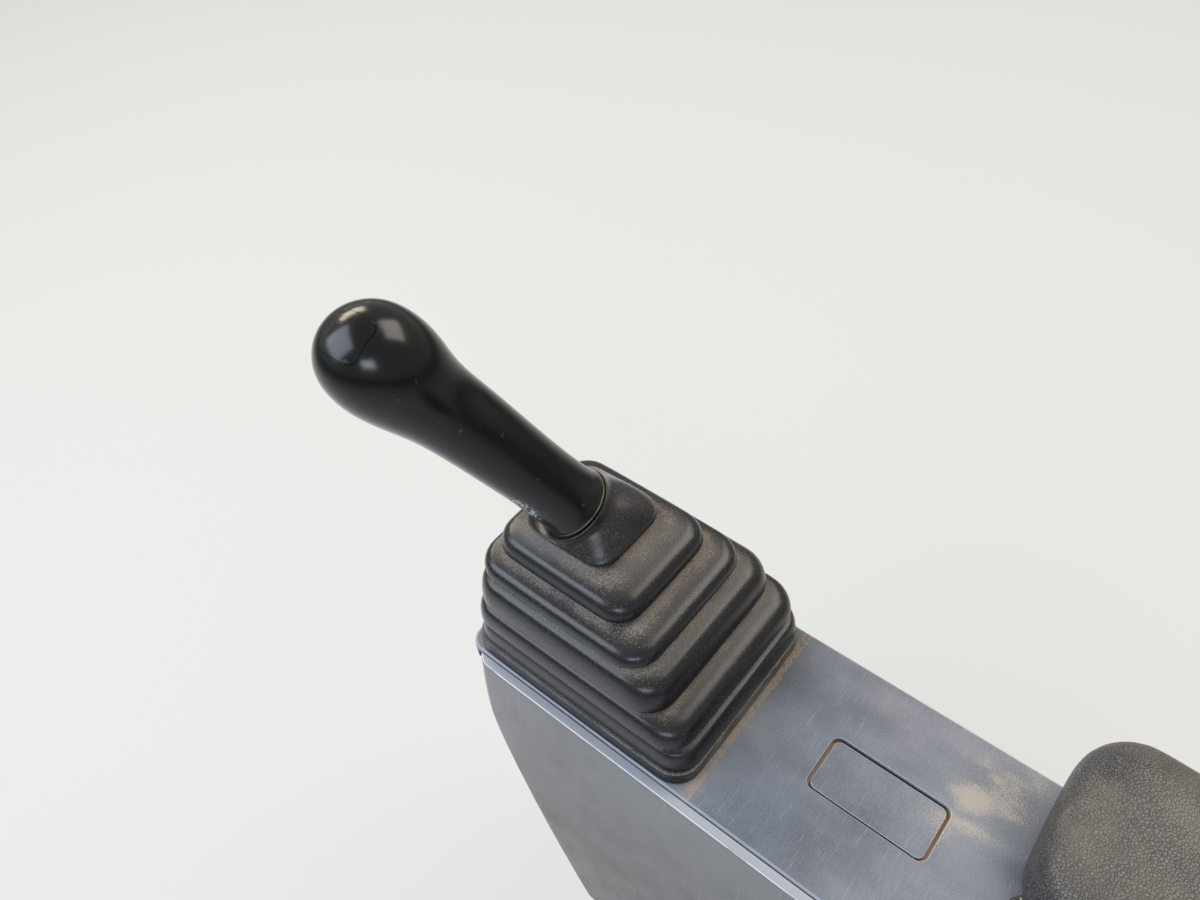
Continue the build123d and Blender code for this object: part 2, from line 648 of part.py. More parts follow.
# height above the pad's underside, inset of the outline
PAD_ROWS = [(0.0, 4.5), (6.0, 0.0), (31.0, 0.0), (39.0, 3.8), (46.0, 14.0)]
REST_T = 4.0
REST_INSET = 16.0
TONGUE_LAP = 10.0
HINGE_X = 24.0
HINGE_BEHIND = 14.0      # hinge behind the pad's rear edge
HINGE_LIFT = 12.0        # hinge above the lid
HINGE_EYE_R = 7.5
HINGE_PIN_R = 4.0
HINGE_HEAD = 2.5
HINGE_HALF = 34.0
EAR_T = 4.0
EAR_R = 8.5
BRACKET_T = 3.0
BRACKET_REAR = 10.0
BRACKET_FRONT = 24.0
BUFFER_R = 8.0
BUFFER_Y = -35.0
BUFFER_DX = 20.0
PAD_FOOT_Z = TOP_Z + PAD_LIFT
HINGE_Y = PAD_REAR - HINGE_BEHIND
HINGE_Z = TOP_Z + HINGE_LIFT


def hinge_rod(radius, x0, x1):
    return rod(radius, (x0, HINGE_Y, HINGE_Z), (x1, HINGE_Y, HINGE_Z))


def armrest_pad():
    mid_y, half_y = (PAD_FRONT + PAD_REAR) / 2, (PAD_FRONT - PAD_REAR) / 2
    faces = []
    for up, inset in PAD_ROWS:
        plane = Plane(origin=(PAD_X, mid_y, PAD_FOOT_Z + up))
        width, length = 2 * (PAD_HALF_X - inset), 2 * (half_y - inset)
        faces.append(plane * RectangleRounded(width, length, PAD_CORNER_R - inset))
    return loft(faces, ruled=True)


def armrest_plate():
    mid_y = (PAD_FRONT + PAD_REAR) / 2
    half_y = (PAD_FRONT - PAD_REAR) / 2 - REST_INSET
    base = PAD_FOOT_Z - REST_T
    plate = rounded_plate(
        PAD_HALF_X - REST_INSET, half_y, PAD_CORNER_R - REST_INSET, REST_T, (PAD_X, mid_y), base
    )
    x0, x1 = HINGE_X - HINGE_HALF + SEAT_GAP, HINGE_X + HINGE_HALF - SEAT_GAP
    plate += box_between((x0, HINGE_Y, base), (x1, mid_y - half_y + TONGUE_LAP, PAD_FOOT_Z))
    plate += hinge_rod(HINGE_EYE_R, x0, x1)
    return plate - hinge_rod(HINGE_PIN_R + PIN_CLEARANCE, x0 - PAST, x1 + PAST)


def armrest_bracket():
    width = HINGE_HALF + EAR_T
    rear, front = HINGE_Y - BRACKET_REAR, HINGE_Y + BRACKET_FRONT
    top = TOP_Z + BRACKET_T
    bracket = box_between((HINGE_X - width, rear, TOP_Z), (HINGE_X + width, front, top))
    web = Polygon(
        (rear, TOP_Z),
        (front, TOP_Z),
        (front, top),
        (HINGE_Y + HINGE_EYE_R, HINGE_Z),
        (HINGE_Y - EAR_R, HINGE_Z),
        (rear, top),
        align=None,
    )
    for side in (-1, 1):
        x0, x1 = sorted((HINGE_X + side * HINGE_HALF, HINGE_X + side * width))
        ear = hinge_rod(EAR_R, x0, x1) + extrude(Plane.YZ.offset(x0) * web, amount=EAR_T)
        bracket += ear - hinge_rod(HINGE_PIN_R + PIN_CLEARANCE, x0 - PAST, x1 + PAST)
    return bracket


def armrest_pin():
    ends = HINGE_HALF + EAR_T
    pin = hinge_rod(HINGE_PIN_R, HINGE_X - ends, HINGE_X + ends)
    return pin + hinge_rod(HINGE_PIN_R + HINGE_HEAD, HINGE_X - ends - HINGE_HEAD, HINGE_X - ends)


def armrest_buffers():
    top = PAD_FOOT_Z - REST_T - SEAT_GAP
    buffers = []
    for x in (HINGE_X - BUFFER_DX, HINGE_X + BUFFER_DX):
        stop = rod(BUFFER_R, (x, BUFFER_Y, TOP_Z), (x, BUFFER_Y, top))
        buffers.append(stop)
    return Compound(children=buffers)


covers = cover_shell()
PIECES = {
    "base_plate": base_plate(),
    "pedestal": pedestal(),
    "pedestal_spacers": pedestal_spacers(),
    "tray": tray(),
    "left_cover": side_cover(-1, covers),
    "right_cover": side_cover(1, covers),
    "top_cover": top_cover(),
    "switch_blank": switch_blank(),
    "dial_bezel": dial_bezel(),
    "throttle_dial": throttle_dial(),
    "valve_block": valve_block(),
    "port_nipples": port_nipples(),
    "valve_yoke": valve_yoke(),
    "gimbal_cross": gimbal_cross(),
    "lever_fork": lever_fork(),
    "boot_lower": boot_lower(),
    "boot_upper": boot_upper(),
    "collar": collar(),
    "grip": grip(),
    "grip_cap": grip_cap(),
    "armrest_pad": armrest_pad(),
    "armrest_plate": armrest_plate(),
    "armrest_bracket": armrest_bracket(),
    "armrest_pin": armrest_pin(),
    "armrest_buffers": armrest_buffers(),
}
for piece_name, piece_shape in PIECES.items():
    write(piece_name, piece_shape)
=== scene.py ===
import json
from math import radians

import bpy
import numpy as np
from mathutils import Matrix, Vector


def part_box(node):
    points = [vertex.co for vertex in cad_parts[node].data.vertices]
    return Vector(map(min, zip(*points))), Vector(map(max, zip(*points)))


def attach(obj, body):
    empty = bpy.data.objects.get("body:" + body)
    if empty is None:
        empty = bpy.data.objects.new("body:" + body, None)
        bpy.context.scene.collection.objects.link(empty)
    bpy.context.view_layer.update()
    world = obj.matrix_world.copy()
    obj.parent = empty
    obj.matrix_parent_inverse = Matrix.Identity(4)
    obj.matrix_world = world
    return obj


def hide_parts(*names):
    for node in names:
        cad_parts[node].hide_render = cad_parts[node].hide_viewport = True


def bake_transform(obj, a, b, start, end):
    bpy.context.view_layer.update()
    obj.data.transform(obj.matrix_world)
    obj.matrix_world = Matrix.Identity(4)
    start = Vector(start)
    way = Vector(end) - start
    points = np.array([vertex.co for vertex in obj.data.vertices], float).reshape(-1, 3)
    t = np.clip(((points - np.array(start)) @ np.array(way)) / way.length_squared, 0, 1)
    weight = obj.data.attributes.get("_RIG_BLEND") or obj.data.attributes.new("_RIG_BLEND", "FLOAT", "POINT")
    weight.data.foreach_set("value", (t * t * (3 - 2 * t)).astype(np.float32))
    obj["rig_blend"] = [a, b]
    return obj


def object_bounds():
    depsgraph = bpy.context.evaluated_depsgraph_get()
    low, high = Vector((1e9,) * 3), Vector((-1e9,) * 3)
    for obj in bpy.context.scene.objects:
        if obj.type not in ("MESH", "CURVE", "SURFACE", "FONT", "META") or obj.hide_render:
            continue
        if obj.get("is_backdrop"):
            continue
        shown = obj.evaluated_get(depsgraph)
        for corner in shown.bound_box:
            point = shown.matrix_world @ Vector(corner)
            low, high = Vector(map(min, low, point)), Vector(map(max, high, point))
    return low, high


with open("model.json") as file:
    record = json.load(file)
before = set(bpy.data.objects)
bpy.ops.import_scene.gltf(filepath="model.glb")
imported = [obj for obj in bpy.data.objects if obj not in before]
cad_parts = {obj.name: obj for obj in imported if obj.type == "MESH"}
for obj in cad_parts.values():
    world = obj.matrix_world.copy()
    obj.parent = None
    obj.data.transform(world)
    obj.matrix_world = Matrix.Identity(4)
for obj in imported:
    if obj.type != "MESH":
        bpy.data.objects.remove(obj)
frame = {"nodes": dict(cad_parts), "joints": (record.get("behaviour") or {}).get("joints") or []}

cad_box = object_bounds()
bpy.ops.object.select_all(action="DESELECT")

# Studio: a plain pale floor under the console's base plate, which stands on z = 0.
# The camera stands where the operator's head is, looking down at the lever from the left.
MM = 0.001
CAMERA_PLACE = (-0.2500, 0.0469, 0.8200)
CAMERA_TURN = (42.958, 2.688, -50.800)   # degrees about X, Y and Z
CAMERA_LENS = 28.62                      # mm on a sensor 36 mm wide
FLOOR_HALF = 40.0                        # metres
FLOOR_COLOUR = "#e2e2df"
FLOOR_EVEN = 0.8         # share of its own colour, so that the floor is even and keeps the shadow
BACKDROP_COLOUR = "#d4d4d1"
SKY_COLOUR = "#d3d7dd"                   # soft light from all round
SKY_LEVEL = 0.29
# place, point aimed at, width and length in metres, watts, colour
LAMPS = [
    ((1.4, -0.3, 2.2), (0.0, 0.1, 0.3), (1.6, 1.2), 39.0, "#fff6ea"),
    ((-0.85, 1.0, 1.45), (0.0, 0.2, 0.4), (1.3, 1.1), 30.0, "#dfe9fb"),
    ((-1.6, -1.2, 1.6), (0.0, 0.15, 0.3), (0.9, 0.6), 19.0, "#dfe8f8"),
    ((0.6, 2.1, 1.7), (0.0, 0.1, 0.3), (1.2, 0.6), 26.0, "#fff1dc"),
]


def colour(code):
    """The linear colour of an sRGB hex value, with full alpha."""
    parts = [int(code[i:i + 2], 16) / 255 for i in (1, 3, 5)]
    return [p / 12.92 if p <= 0.04045 else ((p + 0.055) / 1.055) ** 2.4 for p in parts] + [1.0]


def node(material, kind, inputs=None, **settings):
    """Add a shader node. An input is a value, a hex colour, the node whose first live output feeds it,
    or that node and the name of another output."""
    made = material.node_tree.nodes.new("ShaderNode" + kind)
    for name, value in settings.items():
        setattr(made, name, value)
    for socket, value in (inputs or {}).items():
        if isinstance(value, str):
            value = colour(value)
        elif isinstance(value, bpy.types.Node):
            value = next(output for output in value.outputs if output.enabled)
        elif isinstance(value, tuple) and isinstance(value[0], bpy.types.Node):
            value = value[0].outputs[value[1]]
        if isinstance(value, bpy.types.NodeSocket):
            material.node_tree.links.new(value, made.inputs[socket])
        else:
            made.inputs[socket].default_value = value
    return made


def new_material(name):
    """An empty material, to which a section adds its nodes."""
    material = bpy.data.materials.new(name)
    material.use_nodes = True
    material.node_tree.nodes.clear()
    return material


camera = bpy.data.objects.new("camera", bpy.data.cameras.new("camera"))
camera.data.lens = CAMERA_LENS
camera.data.clip_start = 0.01
camera.location = CAMERA_PLACE
camera.rotation_euler = [radians(angle) for angle in CAMERA_TURN]
bpy.context.scene.collection.objects.link(camera)
bpy.context.scene.camera = camera
bpy.context.scene.view_settings.view_transform = "Standard"

for number, (place, aim, size, watts, tint) in enumerate(LAMPS):
    light = bpy.data.lights.new(f"softbox_{number}", "AREA")
    light.shape = "RECTANGLE"
    light.size, light.size_y = size
    light.energy = watts
    light.color = colour(tint)[:3]
    lamp = bpy.data.objects.new(light.name, light)
    lamp.location = place
    lamp.rotation_euler = (Vector(aim) - Vector(place)).to_track_quat("-Z", "Y").to_euler()
    bpy.context.scene.collection.objects.link(lamp)

# The backdrop shows to the camera and in gloss and glass; the sky lights the object.
studio = bpy.data.worlds.new("studio")
bpy.context.scene.world = studio
studio.use_nodes = True
studio.node_tree.nodes.clear()
path = node(studio, "LightPath")
shown = node(studio, "Math", {0: (path, "Is Camera Ray"), 1: (path, "Is Glossy Ray")}, operation="ADD")
mirrored = node(
    studio, "Math", {0: shown, 1: (path, "Is Transmission Ray")}, operation="ADD", use_clamp=True
)
sky = node(studio, "Background", {"Color": SKY_COLOUR, "Strength": SKY_LEVEL})
backdrop = node(studio, "Background", {"Color": BACKDROP_COLOUR, "Strength": 1.0})
seen = node(studio, "MixShader", {0: mirrored, 1: sky, 2: backdrop})
node(studio, "OutputWorld", {"Surface": seen})

bpy.ops.mesh.primitive_plane_add(size=2 * FLOOR_HALF)
floor = bpy.context.object
floor.name = "floor"
painted = new_material("floor_paint")
matt_floor = node(painted, "BsdfPrincipled", {"Base Color": FLOOR_COLOUR, "Roughness": 0.9})
even_floor = node(painted, "Emission", {"Color": FLOOR_COLOUR, "Strength": 1.0})
camera_ray = (node(painted, "LightPath"), "Is Camera Ray")
evened = node(painted, "Math", {0: camera_ray, 1: FLOOR_EVEN}, operation="MULTIPLY")
floor_shader = node(painted, "MixShader", {0: evened, 1: matt_floor, 2: even_floor})
node(painted, "OutputMaterial", {"Surface": floor_shader})
floor.data.materials.append(painted)
floor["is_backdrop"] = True

# Boot: a bellows moulded in black EPDM rubber, clipped into the lid at its foot and tied round
# the lever under the grip. Dust of the site lies on its treads, and the upright skirts stay dark.
PIVOT = Vector(frame["joints"][0]["pos_m"])
BLANK_UNDER = 0.4        # mm, the solid of the blank lies this far under the lid's face
LID_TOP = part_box("switch_blank")[1].z + BLANK_UNDER * MM
BOOT_ORIGIN = Vector((PIVOT.x, PIVOT.y, LID_TOP))
CORNER_STEPS = 6
LEAST_CORNER = 2.0       # mm
HAIR = 0.02              # mm
NECK_IN = 4.0            # mm, a neck lies this far inside the skirt above it
RUBBER_WALL = 2.0        # mm
FOOT_SKIRT = 10.0        # mm
FOOT_LIP = 7.0           # mm, the foot's turned-in lip
# mm: shift x and y from the pivot, half x, half y, corner radius
FOOT = (0.0, 1.4, 66.5, 82.2, 18.0)
# mm: inset, height above the lid
FOOT_ROWS = [
    (FOOT_LIP, 0.0), (0.3, 0.0), (0.0, 0.4), (0.0, 1.4), (0.2, FOOT_SKIRT - 1.2), (0.35, FOOT_SKIRT - 0.35),
    (0.9, FOOT_SKIRT + 0.15), (1.5, FOOT_SKIRT + 0.1),
]
# mm: edge above the lid, height of the roll, rise of the ledge over it, the roll's share of the way
# in to the next neck, then as for the foot
STEPS = [
    (10.4, 14.5, 2.1, 0.45, 0.5, 1.3, 64.7, 81.0, 18.0),
    (29.0, 13.5, 2.3, 0.56, 1.0, 4.0, 65.0, 78.5, 19.0),
    (47.0, 19.0, 4.5, 0.50, 0.0, 11.0, 61.5, 69.5, 20.0),
    (73.0, 8.7, 3.0, 0.36, -4.0, 17.0, 52.5, 61.5, 19.0),
    (87.0, 11.5, 6.5, 0.33, -3.5, 22.5, 42.0, 49.0, 17.0),
]
BOOT_TOP = (106.5, -5.0, 27.5, 28.5, 31.0, 14.0)     # height, shift x and y, half x, half y, corner
SHARP_EDGE = [(1.8, 0.6), (0.6, -0.1), (0.0, 0.3)]   # mm: inset, height from a fold's edge
# shares of the way in and of the climb
ROLL = [(0.0, 0.10), (0.04, 0.36), (0.18, 0.64), (0.46, 0.86), (0.84, 0.98), (1.0, 1.0)]
LEDGE = [(0.30, 0.14), (0.65, 0.42), (0.90, 0.78), (1.0, 1.0)]
SPLIT_STEP = 2           # the lower boot ends in the neck under this step
SPLIT_DROP = 2.5         # mm
TUCK = 0.9               # mm, a neck ends this far above the edge of the skirt that hides it


def add_ring(centre, half_x, half_y, corner, turn=(0, 0)):
    """Add a loop of edges in edit mode, in mm: a rounded rectangle, or a circle if the corner fills it.
    Turn is in degrees about X and then about Y, and tips the loop out of level."""
    place = Vector(centre) * MM
    bpy.ops.mesh.select_all(action="DESELECT")
    if corner >= half_x:
        around = 4 * (CORNER_STEPS + 1)
        bpy.ops.mesh.primitive_circle_add(vertices=around, radius=half_x * MM, location=place)
    else:
        bpy.ops.mesh.primitive_plane_add(size=2 * MM, location=place)
        bpy.ops.transform.resize(value=(half_x, half_y, 1), center_override=place)
        bpy.ops.mesh.bevel(affect="VERTICES", offset=corner * MM, segments=CORNER_STEPS)
    bpy.ops.object.vertex_group_assign_new()
    bpy.ops.mesh.delete(type="ONLY_FACE")
    if any(turn):
        bpy.ops.object.vertex_group_select()
        for axis, angle in zip("XY", turn):
            bpy.ops.transform.rotate(value=-radians(angle), orient_axis=axis, center_override=place)


def select_rings(*numbers):
    bpy.ops.mesh.select_all(action="DESELECT")
    for number in numbers:
        bpy.context.object.vertex_groups.active_index = number
        bpy.ops.object.vertex_group_select()


def bridged(name, rings, wall=False, capped=()):
    """A form through a row of rings. A wall's last ring is bridged back to its first.
    Two rings in one plane would be bridged crosswise, so the second lies a hair higher."""
    bpy.ops.object.select_all(action="DESELECT")
    bpy.ops.object.add(type="MESH", enter_editmode=True)
    level = None
    for centre, *outline in rings:
        lift = HAIR if level == centre[2] else 0.0
        level = centre[2]
        add_ring((centre[0], centre[1], level + lift), *outline)
    last = len(rings) - 1
    pairs = [(number, number + 1) for number in range(last)]
    for pair in pairs + ([(last, 0)] if wall else []):
        select_rings(*pair)
        bpy.ops.mesh.bridge_edge_loops()
    for number in capped:
        select_rings(number % len(rings))
        bpy.ops.mesh.edge_face_add()
    bpy.ops.mesh.select_all(action="SELECT")
    bpy.ops.mesh.normals_make_consistent(inside=False)
    bpy.ops.object.vertex_group_remove(all=True)
    bpy.ops.object.mode_set(mode="OBJECT")
    bpy.ops.object.shade_smooth()
    piece = bpy.context.object
    piece.name = piece.data.name = name
    return piece


def picked(piece):
    """Select this piece alone, for the operators that follow."""
    bpy.ops.object.select_all(action="DESELECT")
    piece.select_set(True)
    bpy.context.view_layer.objects.active = piece


def applied(piece, kind, **settings):
    """Add a modifier with its settings and apply it."""
    picked(piece)
    modifier = piece.modifiers.new("step", kind)
    for name, value in settings.items():
        setattr(modifier, name, value)
    bpy.ops.object.modifier_apply(modifier=modifier.name)
    return piece


def smoothed(piece, levels):
    return applied(piece, "SUBSURF", levels=levels, render_levels=levels)


def boot_ring(shift_x, shift_y, half_x, half_y, corner, inset, height):
    """A level ring of the boot, moved in from an outline, at a height above the lid in mm."""
    centre = BOOT_ORIGIN / MM + Vector((shift_x, shift_y, height))
    return (tuple(centre), half_x - inset, half_y - inset, max(corner - inset, LEAST_CORNER))


def fold(step, next_outline, next_edge):
    """Rings of one fold: sharp lower edge, round roll, narrow ledge and the neck above. The roll and
    the ledge share the way in to the neck, so both are wide where the folds stand apart."""
    edge, roll, rise, share, *outline = step
    top = edge + roll
    rings = [boot_ring(*outline, inset, edge + height) for inset, height in SHARP_EDGE]
    neck = [value - less for value, less in zip(next_outline, (0, 0, NECK_IN, NECK_IN, NECK_IN))]
    ways = [(share * way, edge + roll * climb) for way, climb in ROLL]
    ways += [(share + (1.0 - share) * way, top + rise * climb) for way, climb in LEDGE]
    for way, height in ways:
        mixed = [here + (there - here) * way for here, there in zip(outline, neck)]
        rings.append(boot_ring(*mixed, 0.0, height))
    rings += [boot_ring(*next_outline, NECK_IN, height) for height in (top + rise + 1.0, next_edge + TUCK)]
    return rings


def liner(outline, heights):
    """Rings down the inside of the rubber."""
    return [boot_ring(*outline, NECK_IN + RUBBER_WALL, height) for height in heights]


edges = [step[0] for step in STEPS] + [BOOT_TOP[0]]
outlines = [step[4:] for step in STEPS] + [BOOT_TOP[1:]]
split = STEPS[SPLIT_STEP][0] - SPLIT_DROP
split_outline = outlines[SPLIT_STEP]

lower = [boot_ring(*FOOT, *row) for row in FOOT_ROWS]
for number in range(SPLIT_STEP):
    lower += fold(STEPS[number], outlines[number + 1], edges[number + 1])
lower[-1:] = [boot_ring(*split_outline, NECK_IN, split - 0.4), boot_ring(*split_outline, NECK_IN, split)]
lower += liner(split_outline, [split])
for number in range(SPLIT_STEP, 0, -1):
    lower += liner(outlines[number], (edges[number] - 2.0, edges[number - 1] + 13.0))
lower.append(boot_ring(*FOOT, FOOT_LIP, 1.6))
boot_lower = smoothed(bridged("boot_lower_skin", lower, wall=True), 1)

upper = [
    boot_ring(*split_outline, NECK_IN, height) for height in (split, split + 0.4, edges[SPLIT_STEP] + TUCK)
]
for number in range(SPLIT_STEP, len(STEPS)):
    upper += fold(STEPS[number], outlines[number + 1], edges[number + 1])
# mm: inset, drop from the top
upper[-2:] = [
    boot_ring(*BOOT_TOP[1:], inset, BOOT_TOP[0] - drop)
    for inset, drop in ((0.3, 0.8), (0.6, 0.0), (6.0, 0.0), (7.0, 8.0))
]
for number in range(len(STEPS) - 1, SPLIT_STEP, -1):
    upper += liner(outlines[number], (edges[number] + 4.5, edges[number] - 8.0))
upper += liner(split_outline, (edges[SPLIT_STEP] + 8.0, edges[SPLIT_STEP] - 1.0, split))
boot_upper = smoothed(bridged("boot_upper_skin", upper, wall=True), 1)

RUBBER_BLACK = "#0b0c0f"
RUBBER_WORN = "#121418"
SITE_DUST = "#958b7e"
REARWARD = Vector((0.51, -0.86, 0.0))    # the side that the dust blows on
SIDE_SHARE = 0.12        # share of the dust that the flanks lack; the front lacks twice as much
# upward part of the normal where dust starts to lie, and where it lies fully
LEVEL_FROM, LEVEL_FULL = 0.35, 0.80
WALL_FROM = 0.2          # rearward part of the normal where dust starts to cling
# marks a metre
DRIFTS = 48.0
SPECKS = 1500.0
# the noise level at which a grain begins, and at which it hides what is under it
GRAIN_FROM, GRAIN_FULL = 0.65, 0.76


def mottle(material, coords, scale, low, high, detail=5.0, least=0.0, most=1.0):
    """A mask by noise that rises between two of its levels, from least to most, either of which may be
    another mask. The scale is in marks a metre."""
    noise = node(material, "TexNoise", {"Vector": coords, "Scale": scale, "Detail": detail})
    return node(material, "MapRange", {0: noise, 1: low, 2: high, 3: least, 4: most})


def settled(material, coords, density, spread, grain_share, film_share):
    """Dust by its density from 0 to 1: grains, which close up to a layer, over a thin film. It gives
    the grains as a mask, and how much of the surface the dust hides."""
    noise = node(material, "TexNoise", {"Vector": coords, "Scale": SPECKS, "Detail": 3.0})
    lifted = node(material, "Math", {0: density, 1: spread, 2: noise}, operation="MULTIPLY_ADD")
    grains = node(material, "MapRange", {0: lifted, 1: GRAIN_FROM, 2: GRAIN_FULL})
    film = node(material, "Math", {0: density, 1: film_share}, operation="MULTIPLY")
    hidden = node(
        material, "Math", {0: grains, 1: grain_share, 2: film}, operation="MULTIPLY_ADD", use_clamp=True
    )
    return grains, hidden


def roughened(material, coords, scale, detail, strength, depth, marks=None):
    """Fine relief by noise in marks a metre, added to other marks; the depth is in metres."""
    height = node(material, "TexNoise", {"Vector": coords, "Scale": scale, "Detail": detail})
    if marks is not None:
        height = node(material, "Math", {0: height, 1: marks}, operation="ADD")
    return node(material, "Bump", {"Height": height, "Strength": strength, "Distance": depth})


def finished(material, under, coats, surface):
    """Lay colours over one another, each by its share, and close the material with its shader.
    Surface holds the shader's other inputs."""
    for share, tint in coats:
        under = node(material, "Mix", {0: share, 6: under, 7: tint}, data_type="RGBA")
    shader = node(material, "BsdfPrincipled", {"Base Color": under, **surface})
    node(material, "OutputMaterial", {"Surface": shader})


def lay_dust(piece, shelter, cling=((0.0, 1.0), (1.0, 1.0))):
    """Store how much dust each point holds, so that it moves with the folds: lodged dust lies level in
    a fold, blown dust clings to a wall. Both tables are (height above the lid in mm, share)."""
    heights, shares = zip(*shelter)
    wall_heights, wall_shares = zip(*cling)
    lodged = piece.data.attributes.new("lodged_dust", "FLOAT", "POINT")
    blown = piece.data.attributes.new("blown_dust", "FLOAT", "POINT")
    for vertex, lies, clings in zip(piece.data.vertices, lodged.data, blown.data):
        apart = vertex.co - BOOT_ORIGIN
        side = REARWARD.dot(Vector((apart.x, apart.y, 0)).normalized())
        level = np.clip((vertex.normal.z - LEVEL_FROM) / (LEVEL_FULL - LEVEL_FROM), 0.0, 1.0)
        sheltered = np.interp(apart.z / MM, heights, shares)
        lies.value = level * sheltered * (1.0 - SIDE_SHARE + SIDE_SHARE * side)
        wall = np.clip((REARWARD.dot(vertex.normal) - WALL_FROM) / (1.0 - WALL_FROM), 0.0, 1.0)
        clings.value = wall * np.interp(apart.z / MM, wall_heights, wall_shares)


# Moulded EPDM rubber: dust lies on it in grains of about 0.7 mm, thick where a fold shelters it and
# thin on the walls that face rearwards. The wiped skirts keep the rubber's dark blue-black gloss.
rubber = new_material("dusty_epdm_rubber")
spot = (node(rubber, "TexCoord"), "Object")
lodged = (node(rubber, "Attribute", attribute_name="lodged_dust"), "Fac")
blown = (node(rubber, "Attribute", attribute_name="blown_dust"), "Fac")
tread_dust = mottle(rubber, spot, DRIFTS, 0.20, 0.56, most=lodged)
streak = mottle(rubber, spot, 110.0, 0.15, 0.65, most=0.85)
wall_dust = node(rubber, "Math", {0: blown, 1: streak}, operation="MULTIPLY")
dust = node(rubber, "Math", {0: tread_dust, 1: wall_dust}, operation="MAXIMUM")
grains, hidden = settled(rubber, spot, dust, 0.33, 0.55, 0.22)
tone = mottle(rubber, spot, 22.0, 0.3, 0.7)
finished(rubber, RUBBER_BLACK, [(tone, RUBBER_WORN), (hidden, SITE_DUST)], {
    "Roughness": node(rubber, "MapRange", {0: hidden, 2: 0.5, 3: 0.25, 4: 0.85}),
    "Normal": roughened(rubber, spot, 1300.0, 2.0, 0.30, 0.0003, grains),
    "Specular IOR Level": 0.38,
})

# height above the lid in mm, share of dust that stays there
CLING = [(0.0, 1.0), (FOOT_SKIRT, 1.0), (FOOT_SKIRT + 1.0, 0.13), (60.0, 0.08)]
SHELTER = [(0.0, 0.5), (FOOT_SKIRT - 1.0, 1.0), (FOOT_SKIRT, 1.0)]
for step, next_edge in zip(STEPS, edges[1:]):
    edge, roll, rise = step[:3]
    top = edge + roll
    SHELTER += [
        (edge, 0.0), (edge + 0.9 * roll, 0.03), (top, 0.15), (top + 0.3 * rise, 0.80),
        (next_edge - 0.5, 1.0),
    ]

for boot, cad_node, low, high, start, end in (
    (boot_lower, "boot_lower", "console", "gimbal", 5.0, split),
    (boot_upper, "boot_upper", "gimbal", "lever", split, BOOT_TOP[0]),
):
    lay_dust(boot, SHELTER, CLING)
    boot.data.materials.append(rubber)
    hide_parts(cad_node)
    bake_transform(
        boot, low, high,
        start=BOOT_ORIGIN + Vector((0, 0, start * MM)), end=BOOT_ORIGIN + Vector((0, 0, end * MM)),
    )

# Collar: the boot's thick moulded end, a rounded square block of the same rubber. It slopes up to
# a round neck that holds the grip's rim; it is slid over the rod and held by its own stretch.
GRIP_LINE = Vector((-0.3872, 0.4278, 0.8167))
RIM = Vector((-12.8, 282.2, 420.0))                  # mm, middle of the grip's lower rim
LEAN = (-25.3, -25.4)                                # degrees that tip a level ring square to the line


def on_line(up, aside=(0, 0, 0)):
    """A point on the grip's line, in mm up from the rim."""
    return RIM + GRIP_LINE * up + Vector(aside)


def round_ring(centre, radius, turn=(0, 0)):
    return (centre, radius, radius, radius, turn)


collar_rings = [
    ((-5.0, 277.5, 406.6), 27.9, 30.4, 14.0),
    ((-5.0, 277.5, 406.9), 28.4, 30.9, 14.0),
    ((-5.0, 277.5, 408.2), 28.5, 31.0, 14.0, (-0.8, -0.8)),
    ((-5.1, 277.6, 409.6), 28.0, 30.4, 14.4, (-2.2, -2.2)),
    ((-5.6, 277.9, 410.9), 27.0, 29.1, 15.2, (-4.2, -4.2)),
    ((-7.0, 278.9, 412.9), 26.0, 27.8, 17.0, (-8.2, -8.2)),
    ((-9.2, 280.1, 415.4), 24.4, 25.3, 19.6, (-13.6, -13.6)),
    ((-11.0, 281.0, 417.6), 22.7, 22.8, 21.6, (-18.6, -18.6)),
    round_ring(on_line(-1.3), 22.4, (-23.0, -23.0)),
]
# mm: up the line, radius; the neck's lip, the seat of the rim and the bore round the rod
collar_rings += [round_ring(on_line(up), radius, LEAN) for up, radius in (
    (-0.3, 22.7), (0.3, 22.5), (0.4, 21.7), (-0.2, 21.2), (-1.6, 20.4), (-1.8, 7.6), (-3.0, 6.9),
    (-12.0, 6.9),
)]
collar_rings.append(round_ring((-6.4, 275.1, 406.6), 12.0))
collar = smoothed(bridged("collar_rubber", collar_rings, wall=True), 2)
lay_dust(collar, [(0.0, 0.26)], [(0.0, 0.06)])
collar.data.materials.append(rubber)
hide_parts("collar")
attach(collar, "lever")

# Grip: a hard glossy stick moulded in black nylon round the rod, with a bulbous head swollen
# towards the palm. Hands have polished it; a scuff by the rim and dust on the rim stay.
PALM_SIDE = Vector((-0.8796, 0.0940, -0.4663))
# mm: up the line, shift to the palm's side, radius
GRIP_ROWS = [
    (0.0, -0.8, 19.9), (0.5, -0.8, 20.4), (1.6, -0.8, 20.8), (3.4, -0.8, 20.8), (6.5, -0.7, 20.1),
    (12.0, -0.6, 19.6), (30.0, -0.4, 19.0), (58.0, 0.0, 20.0), (85.0, 0.4, 21.0), (102.0, 1.4, 21.7),
    (114.0, 2.2, 23.7), (127.0, 1.8, 26.9), (140.0, 2.0, 28.1), (152.0, 2.2, 26.2), (161.0, 2.6, 21.4),
    (167.5, 2.9, 13.6), (170.2, 3.0, 6.0),
]
HEAD_ROW = -5            # the row at the head's widest
ROD_BORE = 6.6
BORE_ROWS = [(60.0, 0.0, ROD_BORE), (2.0, 0.0, ROD_BORE), (0.0, 0.0, ROD_BORE + 1.5), (0.0, 0.0, 18.0)]
